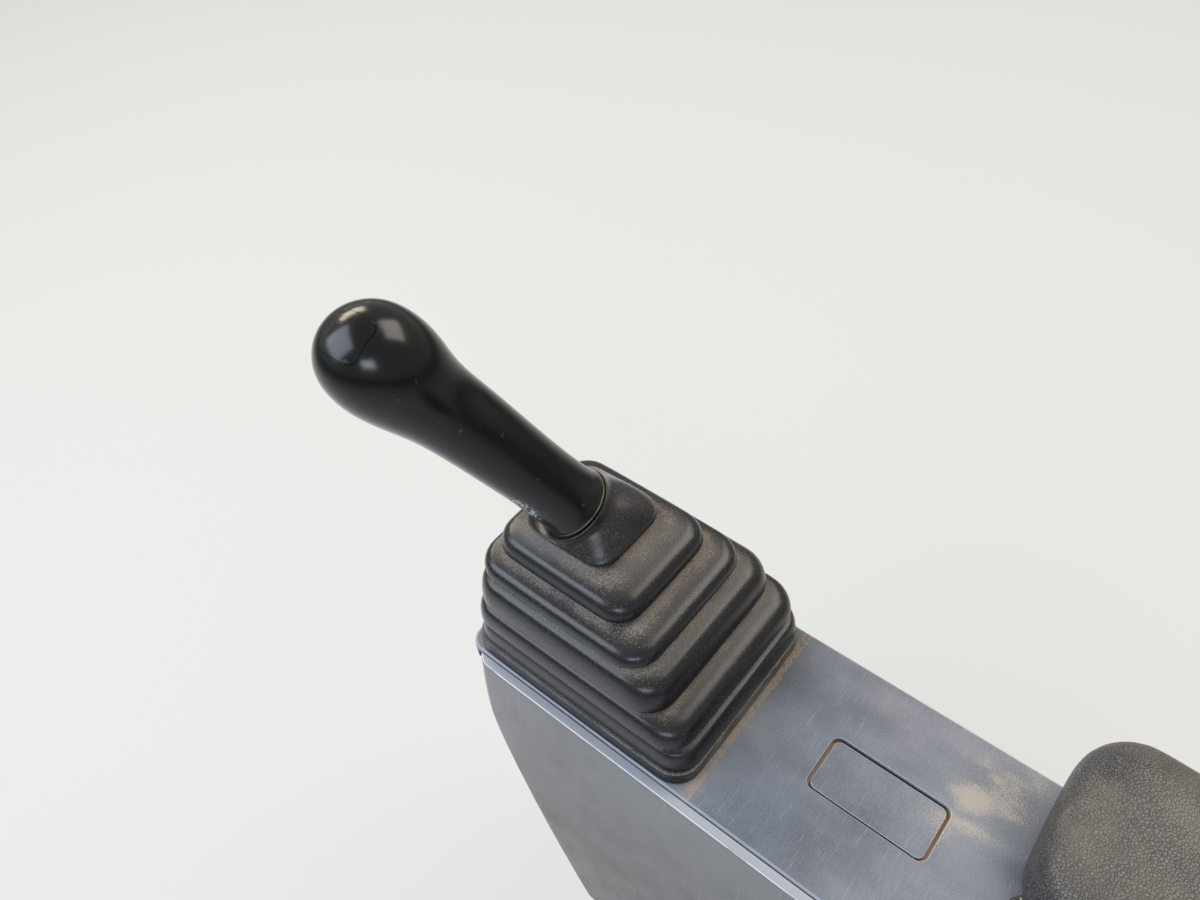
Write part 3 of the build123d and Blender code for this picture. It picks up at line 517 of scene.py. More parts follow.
CAP_LINE = Vector((-0.47, -0.02, 0.88)).normalized()
CAP_HALF = 11.0
CAP_CORNER = 5.0
CAP_SINK = 3.2           # depth of the cap's pocket in the head
CAP_GAP = 0.3
CAP_ROUND = 0.35
CAP_REACH = 40.0         # mm, past the head


def cutter(name, place, turn, half_x, half_y, corner, low, high):
    """A rounded square bar round a turned line, from low to high along it, in mm."""
    rings = [((0, 0, height), half_x, half_y, corner) for height in (low, high)]
    piece = bridged(name, rings, capped=(0, -1))
    piece.location = Vector(place) * MM
    piece.rotation_euler = turn
    bpy.ops.object.transform_apply(location=True, rotation=True, scale=False)
    return piece


def cut(piece, tool, operation="DIFFERENCE"):
    """Apply a Boolean and remove its tool."""
    applied(piece, "BOOLEAN", operation=operation, solver="MANIFOLD", object=tool)
    bpy.data.objects.remove(tool)


def shaded(piece, angle):
    """Shade smooth up to an angle in degrees, with broad flat faces kept flat."""
    picked(piece)
    bpy.ops.object.shade_smooth_by_angle(angle=radians(angle))
    return applied(piece, "WEIGHTED_NORMAL", keep_sharp=True)


def eased(piece, width, angle):
    """Round the edges sharper than an angle in degrees by a width in mm, and shade the rest smooth."""
    applied(
        piece, "BEVEL", width=width * MM, segments=2, limit_method="ANGLE", angle_limit=radians(angle)
    )
    return shaded(piece, angle + 5.0)


def coated(piece, material):
    """Give the whole piece one material."""
    piece.data.materials.clear()
    piece.data.materials.append(material)
    return piece


def doubled(piece, name):
    """A second piece of the same shape."""
    picked(piece)
    bpy.ops.object.duplicate()
    second = bpy.context.object
    second.name = second.data.name = name
    return second


stick_rings = [
    round_ring(on_line(up, PALM_SIDE * aside), radius, LEAN) for up, aside, radius in BORE_ROWS + GRIP_ROWS
]
grip = smoothed(bridged("grip_stick", stick_rings, capped=(0, -1)), 2)
cap = doubled(grip, "grip_cap_cover")

head_up, head_aside, head_radius = GRIP_ROWS[HEAD_ROW]
cap_place = on_line(head_up, PALM_SIDE * head_aside)
cap_turn = CAP_LINE.to_track_quat("Z", "Y").to_euler()
cap_floor = head_radius - CAP_SINK
pocket_half = CAP_HALF + CAP_GAP
cut(grip, cutter(
    "cap_pocket", cap_place, cap_turn, pocket_half, pocket_half, CAP_CORNER + CAP_GAP, cap_floor - CAP_GAP,
    CAP_REACH,
))
cut(cap, cutter(
    "cap_form", cap_place, cap_turn, CAP_HALF, CAP_HALF, CAP_CORNER, cap_floor, CAP_REACH,
), "INTERSECT")

SCUFF_PLACE = (-0.0425, 0.2910, 0.4400)
SCUFF_HALF = (0.0065, 0.0065, 0.0150)
RIM_DUST = (2.4, 1.4)    # mm above the rim where its dust begins and is full


def oval(material, coords, middle, turn, half, outer, inner, most=1.0):
    """A mask that fades from an oval's inner share to its outer share, placed in metres and radians."""
    placed = node(material, "Mapping", {
        "Vector": coords, "Location": middle, "Rotation": turn, "Scale": half,
    }, vector_type="TEXTURE")
    reach = node(material, "VectorMath", {0: placed}, operation="LENGTH")
    return node(material, "MapRange", {0: reach, 1: outer, 2: inner, 4: most})


# Moulded nylon polished by hands: a deep black with clear mirrored lights. The dust on the rim is
# laid in mm up the grip's own line.
polished = new_material("hand_polished_nylon")
spot = (node(polished, "TexCoord"), "Object")
line_turn = GRIP_LINE.to_track_quat("Z", "Y").to_euler()
along_line = node(polished, "Mapping", {
    "Vector": spot, "Location": RIM * MM, "Rotation": line_turn, "Scale": (MM, MM, MM),
}, vector_type="TEXTURE")
up_line = node(polished, "SeparateXYZ", {0: along_line})
rim_band = node(polished, "MapRange", {0: (up_line, "Z"), 1: RIM_DUST[0], 2: RIM_DUST[1]})
rim_dust = mottle(polished, spot, 260.0, 0.20, 0.46, most=rim_band)
scuff_area = oval(polished, spot, SCUFF_PLACE, line_turn, SCUFF_HALF, 1.0, 0.5)
scuff = mottle(polished, spot, 620.0, 0.48, 0.56, most=scuff_area)
nicks = mottle(polished, spot, 150.0, 0.70, 0.76, 2.0, most=0.14)
shine = mottle(polished, spot, 34.0, 0.35, 0.75, least=0.17, most=0.27)
dull = node(polished, "Math", {0: rim_dust, 1: scuff}, operation="MAXIMUM")
finished(polished, "#030304", [(nicks, "#8d8a84"), (rim_dust, "#8c8068"), (scuff, "#b4b4b2")], {
    "Roughness": node(polished, "Mix", {0: dull, 2: shine, 3: 0.7}),
    "Normal": roughened(polished, spot, 420.0, 2.0, 0.03, 0.0003),
    "Specular IOR Level": 0.32,
})

for piece, cad_node in ((grip, "grip"), (cap, "grip_cap")):
    eased(piece, CAP_ROUND, 30.0)
    coated(piece, polished)
    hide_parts(cad_node)
    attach(piece, "lever")

# Side covers: two shells moulded in grey ABS, 3 mm thick, that meet at the middle of the front and
# the rear. The left one has a flat lip beside the lid; each is held by two screws at its standoffs.
POD_LEFT, POD_RIGHT = -74.0, 66.0
POD_FRONT, POD_REAR = 327.0, -250.0
POD_TOP = 299.0
POD_SKIN = 3.0
POD_CORNER = 16.0
POD_EASE = 0.35
LEAN_FROM = 61.0         # mm below the top, where the front wall starts to lean back
LEAN_RATE = 0.3
COVER_SEAM_X = -68.1     # the lip ends here, beside the lid
COVER_WALL_TOP = 296.7   # the other walls end under the lid
LIP_WIDTH = 4.4
HALF_SEAM = 0.15
PAST_LOW = (-200.0, -400.0)              # mm, corners that lie past every piece
PAST_HIGH = (200.0, 500.0, 310.0)
# mm: drop below the top, bulge of the left wall and of the right one, rounding of the front's bend
POD_ROWS = [
    (6.0, 0.4, 0.3, 0.0), (20.0, 1.4, 1.0, 0.0), (37.0, 2.4, 1.7, 0.0), (59.0, 3.6, 2.4, 1.2),
    (83.0, 4.6, 3.0, 0.0), (149.0, 6.0, 4.0, 0.0), (219.0, 5.5, 3.5, 0.0), (282.0, 3.7, 2.2, 0.0),
    (288.5, 3.5, 2.0, 0.0),
]
# mm: drop, inset, width of the lip
LIP_ROWS = [
    (1.7, 0.0, 0.0), (0.75, 0.12, 0.0), (0.2, 0.5, 0.0), (0.0, 1.2, 0.0), (0.0, 3.4, 0.0),
    (0.0, POD_SKIN + 0.8, LIP_WIDTH), (POD_SKIN, POD_SKIN, LIP_WIDTH), (POD_SKIN + 0.4, POD_SKIN, 0.0),
]


def pod_ring(row, inset, lip=0.0):
    """A level ring of the covers, moved in by an inset, and by the lip's width more on the left."""
    drop, bulge_left, bulge_right, rounding = row
    lean = LEAN_RATE * max(drop - LEAN_FROM, 0.0) + rounding
    left, right = POD_LEFT - bulge_left + inset + lip, POD_RIGHT + bulge_right - inset
    front, rear = POD_FRONT - lean - inset, POD_REAR + inset
    centre = ((left + right) / 2, (front + rear) / 2, POD_TOP - drop)
    return (centre, (right - left) / 2, (front - rear) / 2, max(POD_CORNER - inset, 4.0))


def box_tool(low, high):
    """A block between two corners in mm, to cut with."""
    middle = [(a + b) / 2 * MM for a, b in zip(low, high)]
    bpy.ops.object.select_all(action="DESELECT")
    bpy.ops.mesh.primitive_cube_add(size=MM, location=middle, scale=[b - a for a, b in zip(low, high)])
    bpy.ops.object.transform_apply(location=True, rotation=False, scale=True)
    return bpy.context.object


pod_rings = [pod_ring(row, 0.0) for row in POD_ROWS[::-1]]
pod_rings += [pod_ring((drop, 0.0, 0.0, 0.0), inset, lip) for drop, inset, lip in LIP_ROWS]
pod_rings += [pod_ring(row, POD_SKIN) for row in POD_ROWS]
left_cover = smoothed(bridged("left_cover_shell", pod_rings, wall=True), 1)
cut(left_cover, box_tool((COVER_SEAM_X, PAST_LOW[1], COVER_WALL_TOP), PAST_HIGH))
right_cover = doubled(left_cover, "right_cover_shell")
cut(left_cover, box_tool((-HALF_SEAM, PAST_LOW[1], 0.0), PAST_HIGH))
cut(right_cover, box_tool((*PAST_LOW, 0.0), (HALF_SEAM, *PAST_HIGH[1:])))


def surface_of(material):
    """Where a point lies on the piece, and how far its face looks up."""
    place = node(material, "TexCoord")
    return (place, "Object"), (node(material, "SeparateXYZ", {0: (place, "Normal")}), "Z")


def scratches(material, coords, runs):
    """Fine straight scratches as one mask. A run has its angle in degrees, marks a metre across and
    along, and the two levels of noise that it rises between."""
    marks = None
    for turn, across, along, low, high in runs:
        laid = node(material, "Mapping", {
            "Vector": coords, "Rotation": (0.0, 0.0, radians(turn)), "Scale": (along, across, along),
        })
        noise = node(material, "TexNoise", {"Vector": laid, "Scale": 1.0, "Detail": 1.0})
        run = node(material, "MapRange", {0: noise, 1: low, 2: high})
        if marks is not None:
            run = node(material, "Math", {0: marks, 1: run}, operation="MAXIMUM")
        marks = run
    return marks


# Satin ABS: a fine even grain, a few rubs where legs pass, and dust that gathers towards the floor.
# The level lip is painted lighter, standing in for the light that falls on it, and its outer edge carries a
# thin painted highlight broken up by noise.
satin = new_material("satin_grey_abs")
spot, facing_up = surface_of(satin)
height = (node(satin, "SeparateXYZ", {0: spot}), "Z")
tone = mottle(satin, spot, 7.0, 0.3, 0.7)
# painted shade: the wall is made darker from below the lip downwards, standing in for the shade it lies in
painted_wall_shade = node(satin, "MapRange", {0: height, 1: 0.285, 2: 0.150, 4: 0.90})
low_down = node(satin, "MapRange", {0: height, 1: 0.24, 2: 0.01, 4: 0.28})
cloud = mottle(satin, spot, 38.0, 0.26, 0.70, 8.0)
floor_dust = node(satin, "Math", {0: low_down, 1: cloud}, operation="MULTIPLY")
on_wall = node(satin, "Mapping", {"Vector": spot, "Rotation": (0.0, radians(90), 0.0)})
rubs = scratches(satin, on_wall, [(24.0, 900.0, 16.0, 0.70, 0.76), (-61.0, 700.0, 12.0, 0.71, 0.77)])
rub_area = mottle(satin, spot, 9.0, 0.48, 0.62, most=0.30)
rub_share = node(satin, "Math", {0: rubs, 1: rub_area}, operation="MULTIPLY")
# painted light: faces that look up, the lip above all, are made lighter and bluer
painted_lip_light = node(satin, "MapRange", {0: facing_up, 1: 0.75, 2: 0.98, 4: 0.85})
# painted highlight: a thin light line on the lip's rounded outer edge
past_highlight_edge = node(satin, "MapRange", {0: facing_up, 1: 0.98, 2: 0.86, 4: 0.85})
highlight_band = node(satin, "MapRange", {0: facing_up, 1: 0.45, 2: 0.70, 4: past_highlight_edge})
painted_edge_highlight = mottle(satin, spot, 90.0, 0.22, 0.46, most=highlight_band)
finished(satin, "#636362", [
    (tone, "#6b6b6a"), (painted_wall_shade, "#484641"), (floor_dust, "#6f675b"), (rub_share, "#b3b4b4"),
    (painted_lip_light, "#a0a3a8"), (painted_edge_highlight, "#e2e3e3"),
], {
    "Roughness": node(satin, "MapRange", {0: cloud, 3: 0.28, 4: 0.42}),
    "Normal": roughened(satin, spot, 1500.0, 2.0, 0.12, 0.0002),
})

for piece, cad_node in ((left_cover, "left_cover"), (right_cover, "right_cover")):
    eased(piece, POD_EASE, 35.0)
    coated(piece, satin)
    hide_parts(cad_node)
    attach(piece, "console")

# Lid: the console's top cover, moulded in blue-grey ABS with a leather-like grain. It drops over
# the front of the pod with a rolled lip, and holds the boot, the blank and the dial.
LID_HALF = (67.5, 293.75)
LID_Y = 42.25
LID_CORNER = 12.0
LID_SKIN = 3.0
LID_FACE = 300.0
LID_FLOOR = 297.0
LID_LOW = 280.0          # mm, below the whole lid
LID_LIP_FRONT = 327.3    # the lip hangs ahead of this
BOOT_HOLE = (57.0, 75.0, 15.0, 249.0)        # half x, half y, corner, middle y
POCKET = (18.2, 35.9, 5.1, 85.0)
POCKET_DEPTH = 3.2
POCKET_BLOCK = (294.3, 298.0)            # mm, foot and top of the block round the pocket
DIAL_PLACE = (-14.0, -8.0)
DIAL_BORE = 13.0
# mm: drop below the lid's face, flare
MOUTH = [(0.7, 0.0), (0.4, 0.05), (0.18, 0.17), (0.05, 0.36), (0.0, 0.6), (-6.0, 4.0)]
# mm: height, inset
LID_ROWS = [
    (297.0, 8.0), (297.0, 3.6), (296.4, 3.0), (288.8, 3.0), (288.0, 2.5), (288.0, 0.6), (288.3, 0.1),
    (289.4, 0.0), (297.6, 0.0), (298.7, 0.15), (299.45, 0.6), (299.88, 1.3), (300.0, 2.4), (300.0, 8.0),
]


def plate_ring(half, corner, centre, height, inset):
    return ((centre[0], centre[1], height), half[0] - inset, half[1] - inset, max(corner - inset, 1.0))


def flared(half_x, half_y, corner, centre, floor_height):
    """A cutter whose mouth widens at the lid's face, so that the hole's edge comes out rounded."""
    rings = [
        ((centre[0], centre[1], height), half_x + out, half_y + out, corner + out)
        for height, out in [(floor_height, 0.0)] + [(LID_FACE - drop, out) for drop, out in MOUTH]
    ]
    return bridged("flared_cutter", rings, capped=(0, -1))


lid_rings = [plate_ring(LID_HALF, LID_CORNER, (0, LID_Y), *row) for row in LID_ROWS]
lid = bridged("lid_moulding", lid_rings, capped=(0, -1))
cut(lid, box_tool((*PAST_LOW, LID_LOW), (PAST_HIGH[0], LID_LIP_FRONT, LID_FLOOR)))
*pocket, pocket_y = POCKET
block = [size + LID_SKIN for size in pocket]
cut(lid, cutter("pocket_block", (0, pocket_y, 0), (0, 0, 0), *block, *POCKET_BLOCK), "UNION")
cut(lid, flared(*pocket, (0, pocket_y), LID_FACE - POCKET_DEPTH))
cut(lid, flared(*BOOT_HOLE[:3], (0, BOOT_HOLE[3]), LID_LOW))
cut(lid, flared(DIAL_BORE, DIAL_BORE, DIAL_BORE, DIAL_PLACE, LID_LOW))
shaded(lid, 35.0)

LID_GRAIN = 1350.0       # marks a metre
# angle in degrees, across and along in marks a metre, noise levels
LID_SCRATCHES = [
    (8.0, 1100.0, 42.0, 0.68, 0.77), (-52.0, 1200.0, 55.0, 0.68, 0.77), (72.0, 1150.0, 30.0, 0.68, 0.77),
    (-24.0, 1000.0, 60.0, 0.69, 0.78), (41.0, 1300.0, 80.0, 0.67, 0.77),
]
FOOT_LINE = (0.1640, 0.1656, 0.1690, 0.1745)     # metres in Y: the line begins, is full, is full, ends
PATCH_PLACE = (0.036, 0.037, 0.300)
PATCH_HALF = (0.052, 0.027, 1.0)
PATCH_TURN = -18
# metres from the blank's middle: where the gap turns sandy, and where its painted shade and dust end each
# way
GAP_END = (0.0310, 0.0348)
GAP_LENGTH = (0.0385, 0.0370)
GAP_WIDTH = (0.0210, 0.0195)
GAP_DEEP = (0.2982, 0.2974)              # metres in Z, where the painted shade and dust begin and are full

# Grained ABS: pebbles of about 0.7 mm break up the light. Dust lies in a line along the rear of the
# boot's foot and in a patch before the pad, and fine scratches cross the open middle.
grained = new_material("grained_blue_grey_abs")
spot, facing_up = surface_of(grained)
apart = node(grained, "SeparateXYZ", {0: spot})
tone = mottle(grained, spot, 19.0, 0.34, 0.66, 8.0)
pebbles = node(grained, "TexVoronoi", {"Vector": spot, "Scale": LID_GRAIN}, feature="SMOOTH_F1")
fine = mottle(grained, spot, 1100.0, 0.40, 0.66, 2.0)
fine_share = node(grained, "Math", {0: fine, 1: 0.26}, operation="MULTIPLY")
marks = scratches(grained, spot, LID_SCRATCHES)
mark_area = mottle(grained, spot, 14.0, 0.36, 0.60, most=0.20)
mark_share = node(grained, "Math", {0: marks, 1: mark_area}, operation="MULTIPLY")
line_end = node(grained, "MapRange", {0: (apart, "Y"), 1: FOOT_LINE[3], 2: FOOT_LINE[2]})
line_band = node(grained, "MapRange", {0: (apart, "Y"), 1: FOOT_LINE[0], 2: FOOT_LINE[1], 4: line_end})
line_dust = mottle(grained, spot, 230.0, 0.28, 0.50, most=line_band)
line_share = node(grained, "Math", {0: line_dust, 1: 0.74}, operation="MULTIPLY")
wiped = node(grained, "Mapping", {
    "Vector": spot, "Rotation": (0.0, 0.0, radians(35)), "Scale": (1.0, 0.45, 1.0),
})
patch_turn = (0.0, 0.0, radians(PATCH_TURN))
patch_area = oval(grained, spot, PATCH_PLACE, patch_turn, PATCH_HALF, 1.15, 0.35, 1.05)
patch = mottle(grained, wiped, 70.0, 0.34, 0.60, 12.0, most=patch_area)
film = mottle(grained, wiped, 26.0, 0.36, 0.70, 9.0)
film_share = node(grained, "Math", {0: film, 1: 0.26}, operation="MULTIPLY")
haze_share = node(grained, "Math", {0: film, 1: 0.34}, operation="MULTIPLY")
lodged = node(grained, "Math", {0: line_share, 1: patch}, operation="MAXIMUM")
dust = node(grained, "Math", {0: lodged, 1: film_share}, operation="MAXIMUM")
grains, hidden = settled(grained, spot, dust, 0.32, 0.72, 0.12)
sand = node(grained, "Mix", {0: line_dust, 6: "#a89e90", 7: "#a08b70"}, data_type="RGBA")
# the blank's gap is painted dark along its long sides, as shade in the narrow groove, and sandy with dust at
# its short ends
from_blank = node(grained, "Math", {0: (apart, "Y"), 1: POCKET[3] * MM}, operation="SUBTRACT")
end_way = node(grained, "Math", {0: from_blank}, operation="ABSOLUTE")
side_way = node(grained, "Math", {0: (apart, "X")}, operation="ABSOLUTE")
at_end = node(grained, "MapRange", {0: end_way, 1: GAP_END[0], 2: GAP_END[1]})
in_width = node(grained, "MapRange", {0: side_way, 1: GAP_WIDTH[0], 2: GAP_WIDTH[1]})
in_pocket = node(grained, "MapRange", {0: end_way, 1: GAP_LENGTH[0], 2: GAP_LENGTH[1], 4: in_width})
in_gap = node(grained, "MapRange", {0: (apart, "Z"), 1: GAP_DEEP[0], 2: GAP_DEEP[1], 4: in_pocket})
gap_shade_and_dust = node(grained, "Mix", {0: at_end, 6: "#1d1c1b", 7: "#8a6d49"}, data_type="RGBA")
# rounded edges are painted paler, standing in for the highlight that catches them
past_highlight_edge = node(grained, "MapRange", {0: facing_up, 1: 0.99, 2: 0.94, 4: 0.60})
painted_rim_highlight = node(grained, "MapRange", {0: facing_up, 1: 0.30, 2: 0.55, 4: past_highlight_edge})
relief = node(grained, "Math", {0: pebbles, 1: fine}, operation="ADD")
finished(grained, "#40464f", [
    (tone, "#5f6670"), (fine_share, "#80848b"), (mark_share, "#b2b5ba"), (haze_share, "#a3a6ab"),
    (hidden, sand), (in_gap, gap_shade_and_dust), (painted_rim_highlight, "#a6abb2"),
], {
    "Roughness": node(grained, "MapRange", {0: dust, 2: 0.5, 3: 0.50, 4: 0.85}),
    "Normal": node(grained, "Bump", {"Height": relief, "Strength": 0.42, "Distance": 0.0003}),
})
coated(lid, grained)
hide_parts("top_cover")
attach(lid, "console")

# Switch blank: a plain plate of the lid's plastic, pressed in the pocket where a switch may go. It
# carries no mark. Its edge is lightly rounded, and it lies a little under the lid's face.
BLANK_HALF = (16.9, 34.1)
BLANK_CORNER = 4.0
# mm: height, inset
BLANK_ROWS = [
    (296.8, 4.0), (296.8, 0.6), (297.1, 0.0), (298.1, 0.0), (298.45, 0.15), (298.6, 0.6), (298.6, 4.0),
]
blank_rings = [plate_ring(BLANK_HALF, BLANK_CORNER, (0, POCKET[3]), *row) for row in BLANK_ROWS]
blank = bridged("blank_plate", blank_rings, capped=(0, -1))
coated(blank, grained)
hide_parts("switch_blank")
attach(blank, "console")

# Throttle dial: a black bezel ring clipped in the lid, and a notched knob that turns in it. White
# strokes are printed round the bezel and one on the knob, with no figures.
# mm: height, radius
BEZEL_ROWS = [
    (299.0, 12.6), (300.0, 12.7), (300.0, 16.7), (300.4, 17.0), (301.3, 17.0), (302.2, 16.5), (302.5, 15.6),
    (302.5, 12.5), (302.1, 11.9), (299.2, 11.8), (297.2, 11.8), (297.0, 12.4),
]
KNOB_ROWS = [
    (299.0, 4.0), (299.0, 10.6), (299.5, 11.0), (305.6, 11.0), (306.5, 10.6), (307.0, 9.8), (307.0, 8.4),
    (306.6, 7.4), (306.5, 3.0),
]
NOTCHES = 12
NOTCH = 1.2
NOTCH_CORNER = 0.3
NOTCH_WAY = 11.4         # mm from the knob's middle
NOTCH_FOOT, NOTCH_HEAD = 302.6, 310.0
# degrees round the dial; mm: radius, length, height
STROKES = [(angle, 14.2, 2.4, 302.5) for angle in range(-120, 121, 40)] + [(0, 5.2, 4.4, 306.62)]
STROKE_WIDTH = 0.8
STROKE_THICK = 0.12


def joined(name, pieces):
    """One object of like pieces."""
    picked(pieces[0])
    for piece in pieces:
        piece.select_set(True)
    bpy.ops.object.join()
    piece = bpy.context.object
    piece.name = piece.data.name = name
    return piece


dial_middle = Vector((*DIAL_PLACE, 0))
bezel_rings = [round_ring((*DIAL_PLACE, height), radius) for height, radius in BEZEL_ROWS]
knob_rings = [round_ring((*DIAL_PLACE, height), radius) for height, radius in KNOB_ROWS]
bezel = smoothed(bridged("dial_ring", bezel_rings, wall=True), 1)
knob = smoothed(bridged("dial_knob", knob_rings, capped=(0, -1)), 1)
for number in range(NOTCHES):
    turn = radians(360 * number / NOTCHES)
    side = dial_middle + Matrix.Rotation(turn, 3, "Z") @ Vector((NOTCH_WAY, 0, 0))
    square = (0, 0, turn + radians(45))
    cut(knob, cutter("notch", side, square, NOTCH, NOTCH, NOTCH_CORNER, NOTCH_FOOT, NOTCH_HEAD))
eased(knob, 0.2, 35.0)
strokes = []
for angle, radius, length, height in STROKES:
    turn = radians(angle)
    middle = dial_middle + Matrix.Rotation(turn, 3, "Z") @ Vector((0, radius, 0)) + Vector((0, 0, height))
    bpy.ops.mesh.primitive_cube_add(
        size=MM, location=middle * MM, rotation=(0, 0, turn), scale=(STROKE_WIDTH, length, STROKE_THICK)
    )
    bpy.ops.object.transform_apply(location=True, rotation=True, scale=True)
    strokes.append(bpy.context.object)
strokes = joined("dial_strokes", strokes)

# Moulded acetal: a plain satin black that shows the dust on what lies level. The print is matt.
dial_black = new_material("black_acetal")
spot, facing_up = surface_of(dial_black)
level = node(dial_black, "MapRange", {0: facing_up, 1: 0.5, 4: 0.3})
dust = mottle(dial_black, spot, 300.0, 0.35, 0.68, most=level)
finished(dial_black, "#141416", [(dust, SITE_DUST)], {"Roughness": 0.42})
white_ink = new_material("white_pad_print")
finished(white_ink, "#c9c8c2", [], {"Roughness": 0.6})
coated(strokes, white_ink)
for piece, cad_node in ((bezel, "dial_bezel"), (knob, "throttle_dial")):
    coated(piece, dial_black)
    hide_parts(cad_node)
for piece in (bezel, knob, strokes):
    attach(piece, "console")

# Armrest pad: foam under a black leather-grained vinyl skin, drawn tight over a flat board. Its top is
# crowned and has no seam. Dust and sweat have browned it where the forearm lies, and a painted sheen
# lightens it there.
PAD_MIDDLE = (30.5, -105.5)
PAD_HALF = (60.5, 118.5)
PAD_CORNER = 34.0
# mm: height, inset; the pad swells into its full form
PAD_ROWS = [
    (314.2, 30.0), (314.2, 14.0), (314.5, 8.0), (316.0, 5.4), (319.0, 3.6), (325.0, 2.0), (334.0, 1.6),
    (344.0, 2.4), (351.0, 5.2), (356.0, 10.6), (358.8, 19.6), (360.0, 31.6),
]
PAD_FOOT, PAD_CROWN = 314.2, 360.7
PAD_EYE = 12.0           # mm, radius of the small rings that close the pad above and below
PAD_VOXEL = 4.5
PAD_PRESSURE = 4.0
PAD_STIFFNESS = 20.0
PAD_BENDING = 2.0
PAD_FRAMES = 20
PAD_SWELL = 2.0          # mm, the most that a point may move
PAD_SEAT = 315.4         # mm, the skin below this is stapled to the board

pad_rings = [plate_ring(PAD_HALF, PAD_CORNER, PAD_MIDDLE, *row) for row in PAD_ROWS]
pad_rings.insert(0, round_ring((*PAD_MIDDLE, PAD_FOOT), PAD_EYE))
pad_rings.append(round_ring((*PAD_MIDDLE, PAD_CROWN), PAD_EYE))
pad = smoothed(bridged("armrest_cushion", pad_rings, capped=(0, -1)), 1)
picked(pad)
pad.data.remesh_voxel_size = PAD_VOXEL * MM
bpy.ops.object.voxel_remesh()
held = pad.vertex_groups.new(name="stapled")
held.add([v.index for v in pad.data.vertices if v.co.z < PAD_SEAT * MM], 1.0, "REPLACE")
before = [v.co.copy() for v in pad.data.vertices]
cloth = pad.modifiers.new("cloth", "CLOTH")
cloth.settings.use_pressure = True
cloth.settings.uniform_pressure_force = PAD_PRESSURE
cloth.settings.effector_weights.gravity = 0.0
cloth.settings.vertex_group_mass = held.name
cloth.settings.tension_stiffness = PAD_STIFFNESS
cloth.settings.bending_stiffness = PAD_BENDING
for number in range(1, PAD_FRAMES + 1):
    bpy.context.scene.frame_set(number)
bpy.ops.object.modifier_apply(modifier=cloth.name)
bpy.context.scene.frame_set(1)
for vertex, old in zip(pad.data.vertices, before):
    moved = vertex.co - old
    if moved.length > PAD_SWELL * MM:
        vertex.co = old + moved.normalized() * PAD_SWELL * MM
bpy.ops.object.vertex_group_remove(all=True)
smoothed(pad, 1)
bpy.ops.object.shade_smooth()

# Embossed vinyl: pebbles of about 1.6 mm, their tops painted lighter as glints and the creases between them
# painted dark as shade. The crown, where the arm lies, is browned by dust and painted lighter as a sheen.
vinyl = new_material("leather_grained_vinyl")
spot, facing_up = surface_of(vinyl)
pebbles = node(vinyl, "TexVoronoi", {"Vector": spot, "Scale": 620.0}, feature="DISTANCE_TO_EDGE")
# painted light: pebble tops are made lighter as glints and the creases between them dark as shade; the same
# mask raises the relief
pebble_tops_and_glints = node(vinyl, "MapRange", {0: pebbles, 2: 0.16})
# painted sheen: faces that look up are made lighter and browner, along with the dust the arm leaves
upward = node(vinyl, "MapRange", {0: facing_up, 1: 0.55, 2: 0.99, 4: 0.62})
dust_and_sheen = mottle(vinyl, spot, 26.0, 0.25, 0.75, 6.0, most=upward)
specks = mottle(vinyl, spot, 900.0, 0.56, 0.68, 2.0, most=0.22)
dust = node(vinyl, "Math", {0: dust_and_sheen, 1: specks}, operation="ADD", use_clamp=True)
finished(vinyl, "#1b1b1c", [(pebble_tops_and_glints, "#3e3e3d"), (dust, "#8d8578")], {
    "Roughness": node(vinyl, "MapRange", {0: dust, 2: 0.6, 3: 0.38, 4: 0.68}),
    "Normal": roughened(vinyl, spot, 260.0, 4.0, 0.75, 0.0005, pebble_tops_and_glints),
})
coated(pad, vinyl)
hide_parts("armrest_pad")
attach(pad, "armrest")

# Frame: a laser-cut base plate, two windowed side plates welded to it and held apart by round
# bars, and a folded tray on top. The armrest's bracket and board are bent from plate. All of it is
# sprayed satin black.
PLATE_HALF = (56.0, 212.0)
PLATE_CORNER = 14.0
PLATE_T = 8.0
PLATE_ROWS = [(0.0, 6.0), (0.0, 0.5), (0.5, 0.0), (7.5, 0.0), (8.0, 0.5), (8.0, 6.0)]     # height, inset
BOLTS = [(x, y) for x in (-42.0, 42.0) for y in (-192.0, 192.0)]
BOLT_R = 5.5
HOSE_HOLE = (34.0, 95.0, 12.0)           # half x, half y, corner
HOSE_HOLE_Y = 30.0
PIERCE = (-10.0, 20.0)                   # mm, foot and head of a cutter through the plate


def round_tool(x, y, radius, low, high, sides=48):
    """An upright bar to cut with, in mm."""
    bpy.ops.object.select_all(action="DESELECT")
    bpy.ops.mesh.primitive_cylinder_add(
        vertices=sides, radius=radius * MM, depth=(high - low) * MM,
        location=(x * MM, y * MM, (low + high) / 2 * MM),
    )
    bpy.ops.object.transform_apply(location=True, rotation=False, scale=False)
    return bpy.context.object


base_rings = [plate_ring(PLATE_HALF, PLATE_CORNER, (0, 0), *row) for row in PLATE_ROWS]
base = bridged("base_plate_steel", base_rings, capped=(0, -1))
cut(base, cutter("hose_hole", (0, HOSE_HOLE_Y, 0), (0, 0, 0), *HOSE_HOLE, *PIERCE))
for x, y in BOLTS:
    cut(base, round_tool(x, y, BOLT_R, *PIERCE))
shaded(base, 35.0)

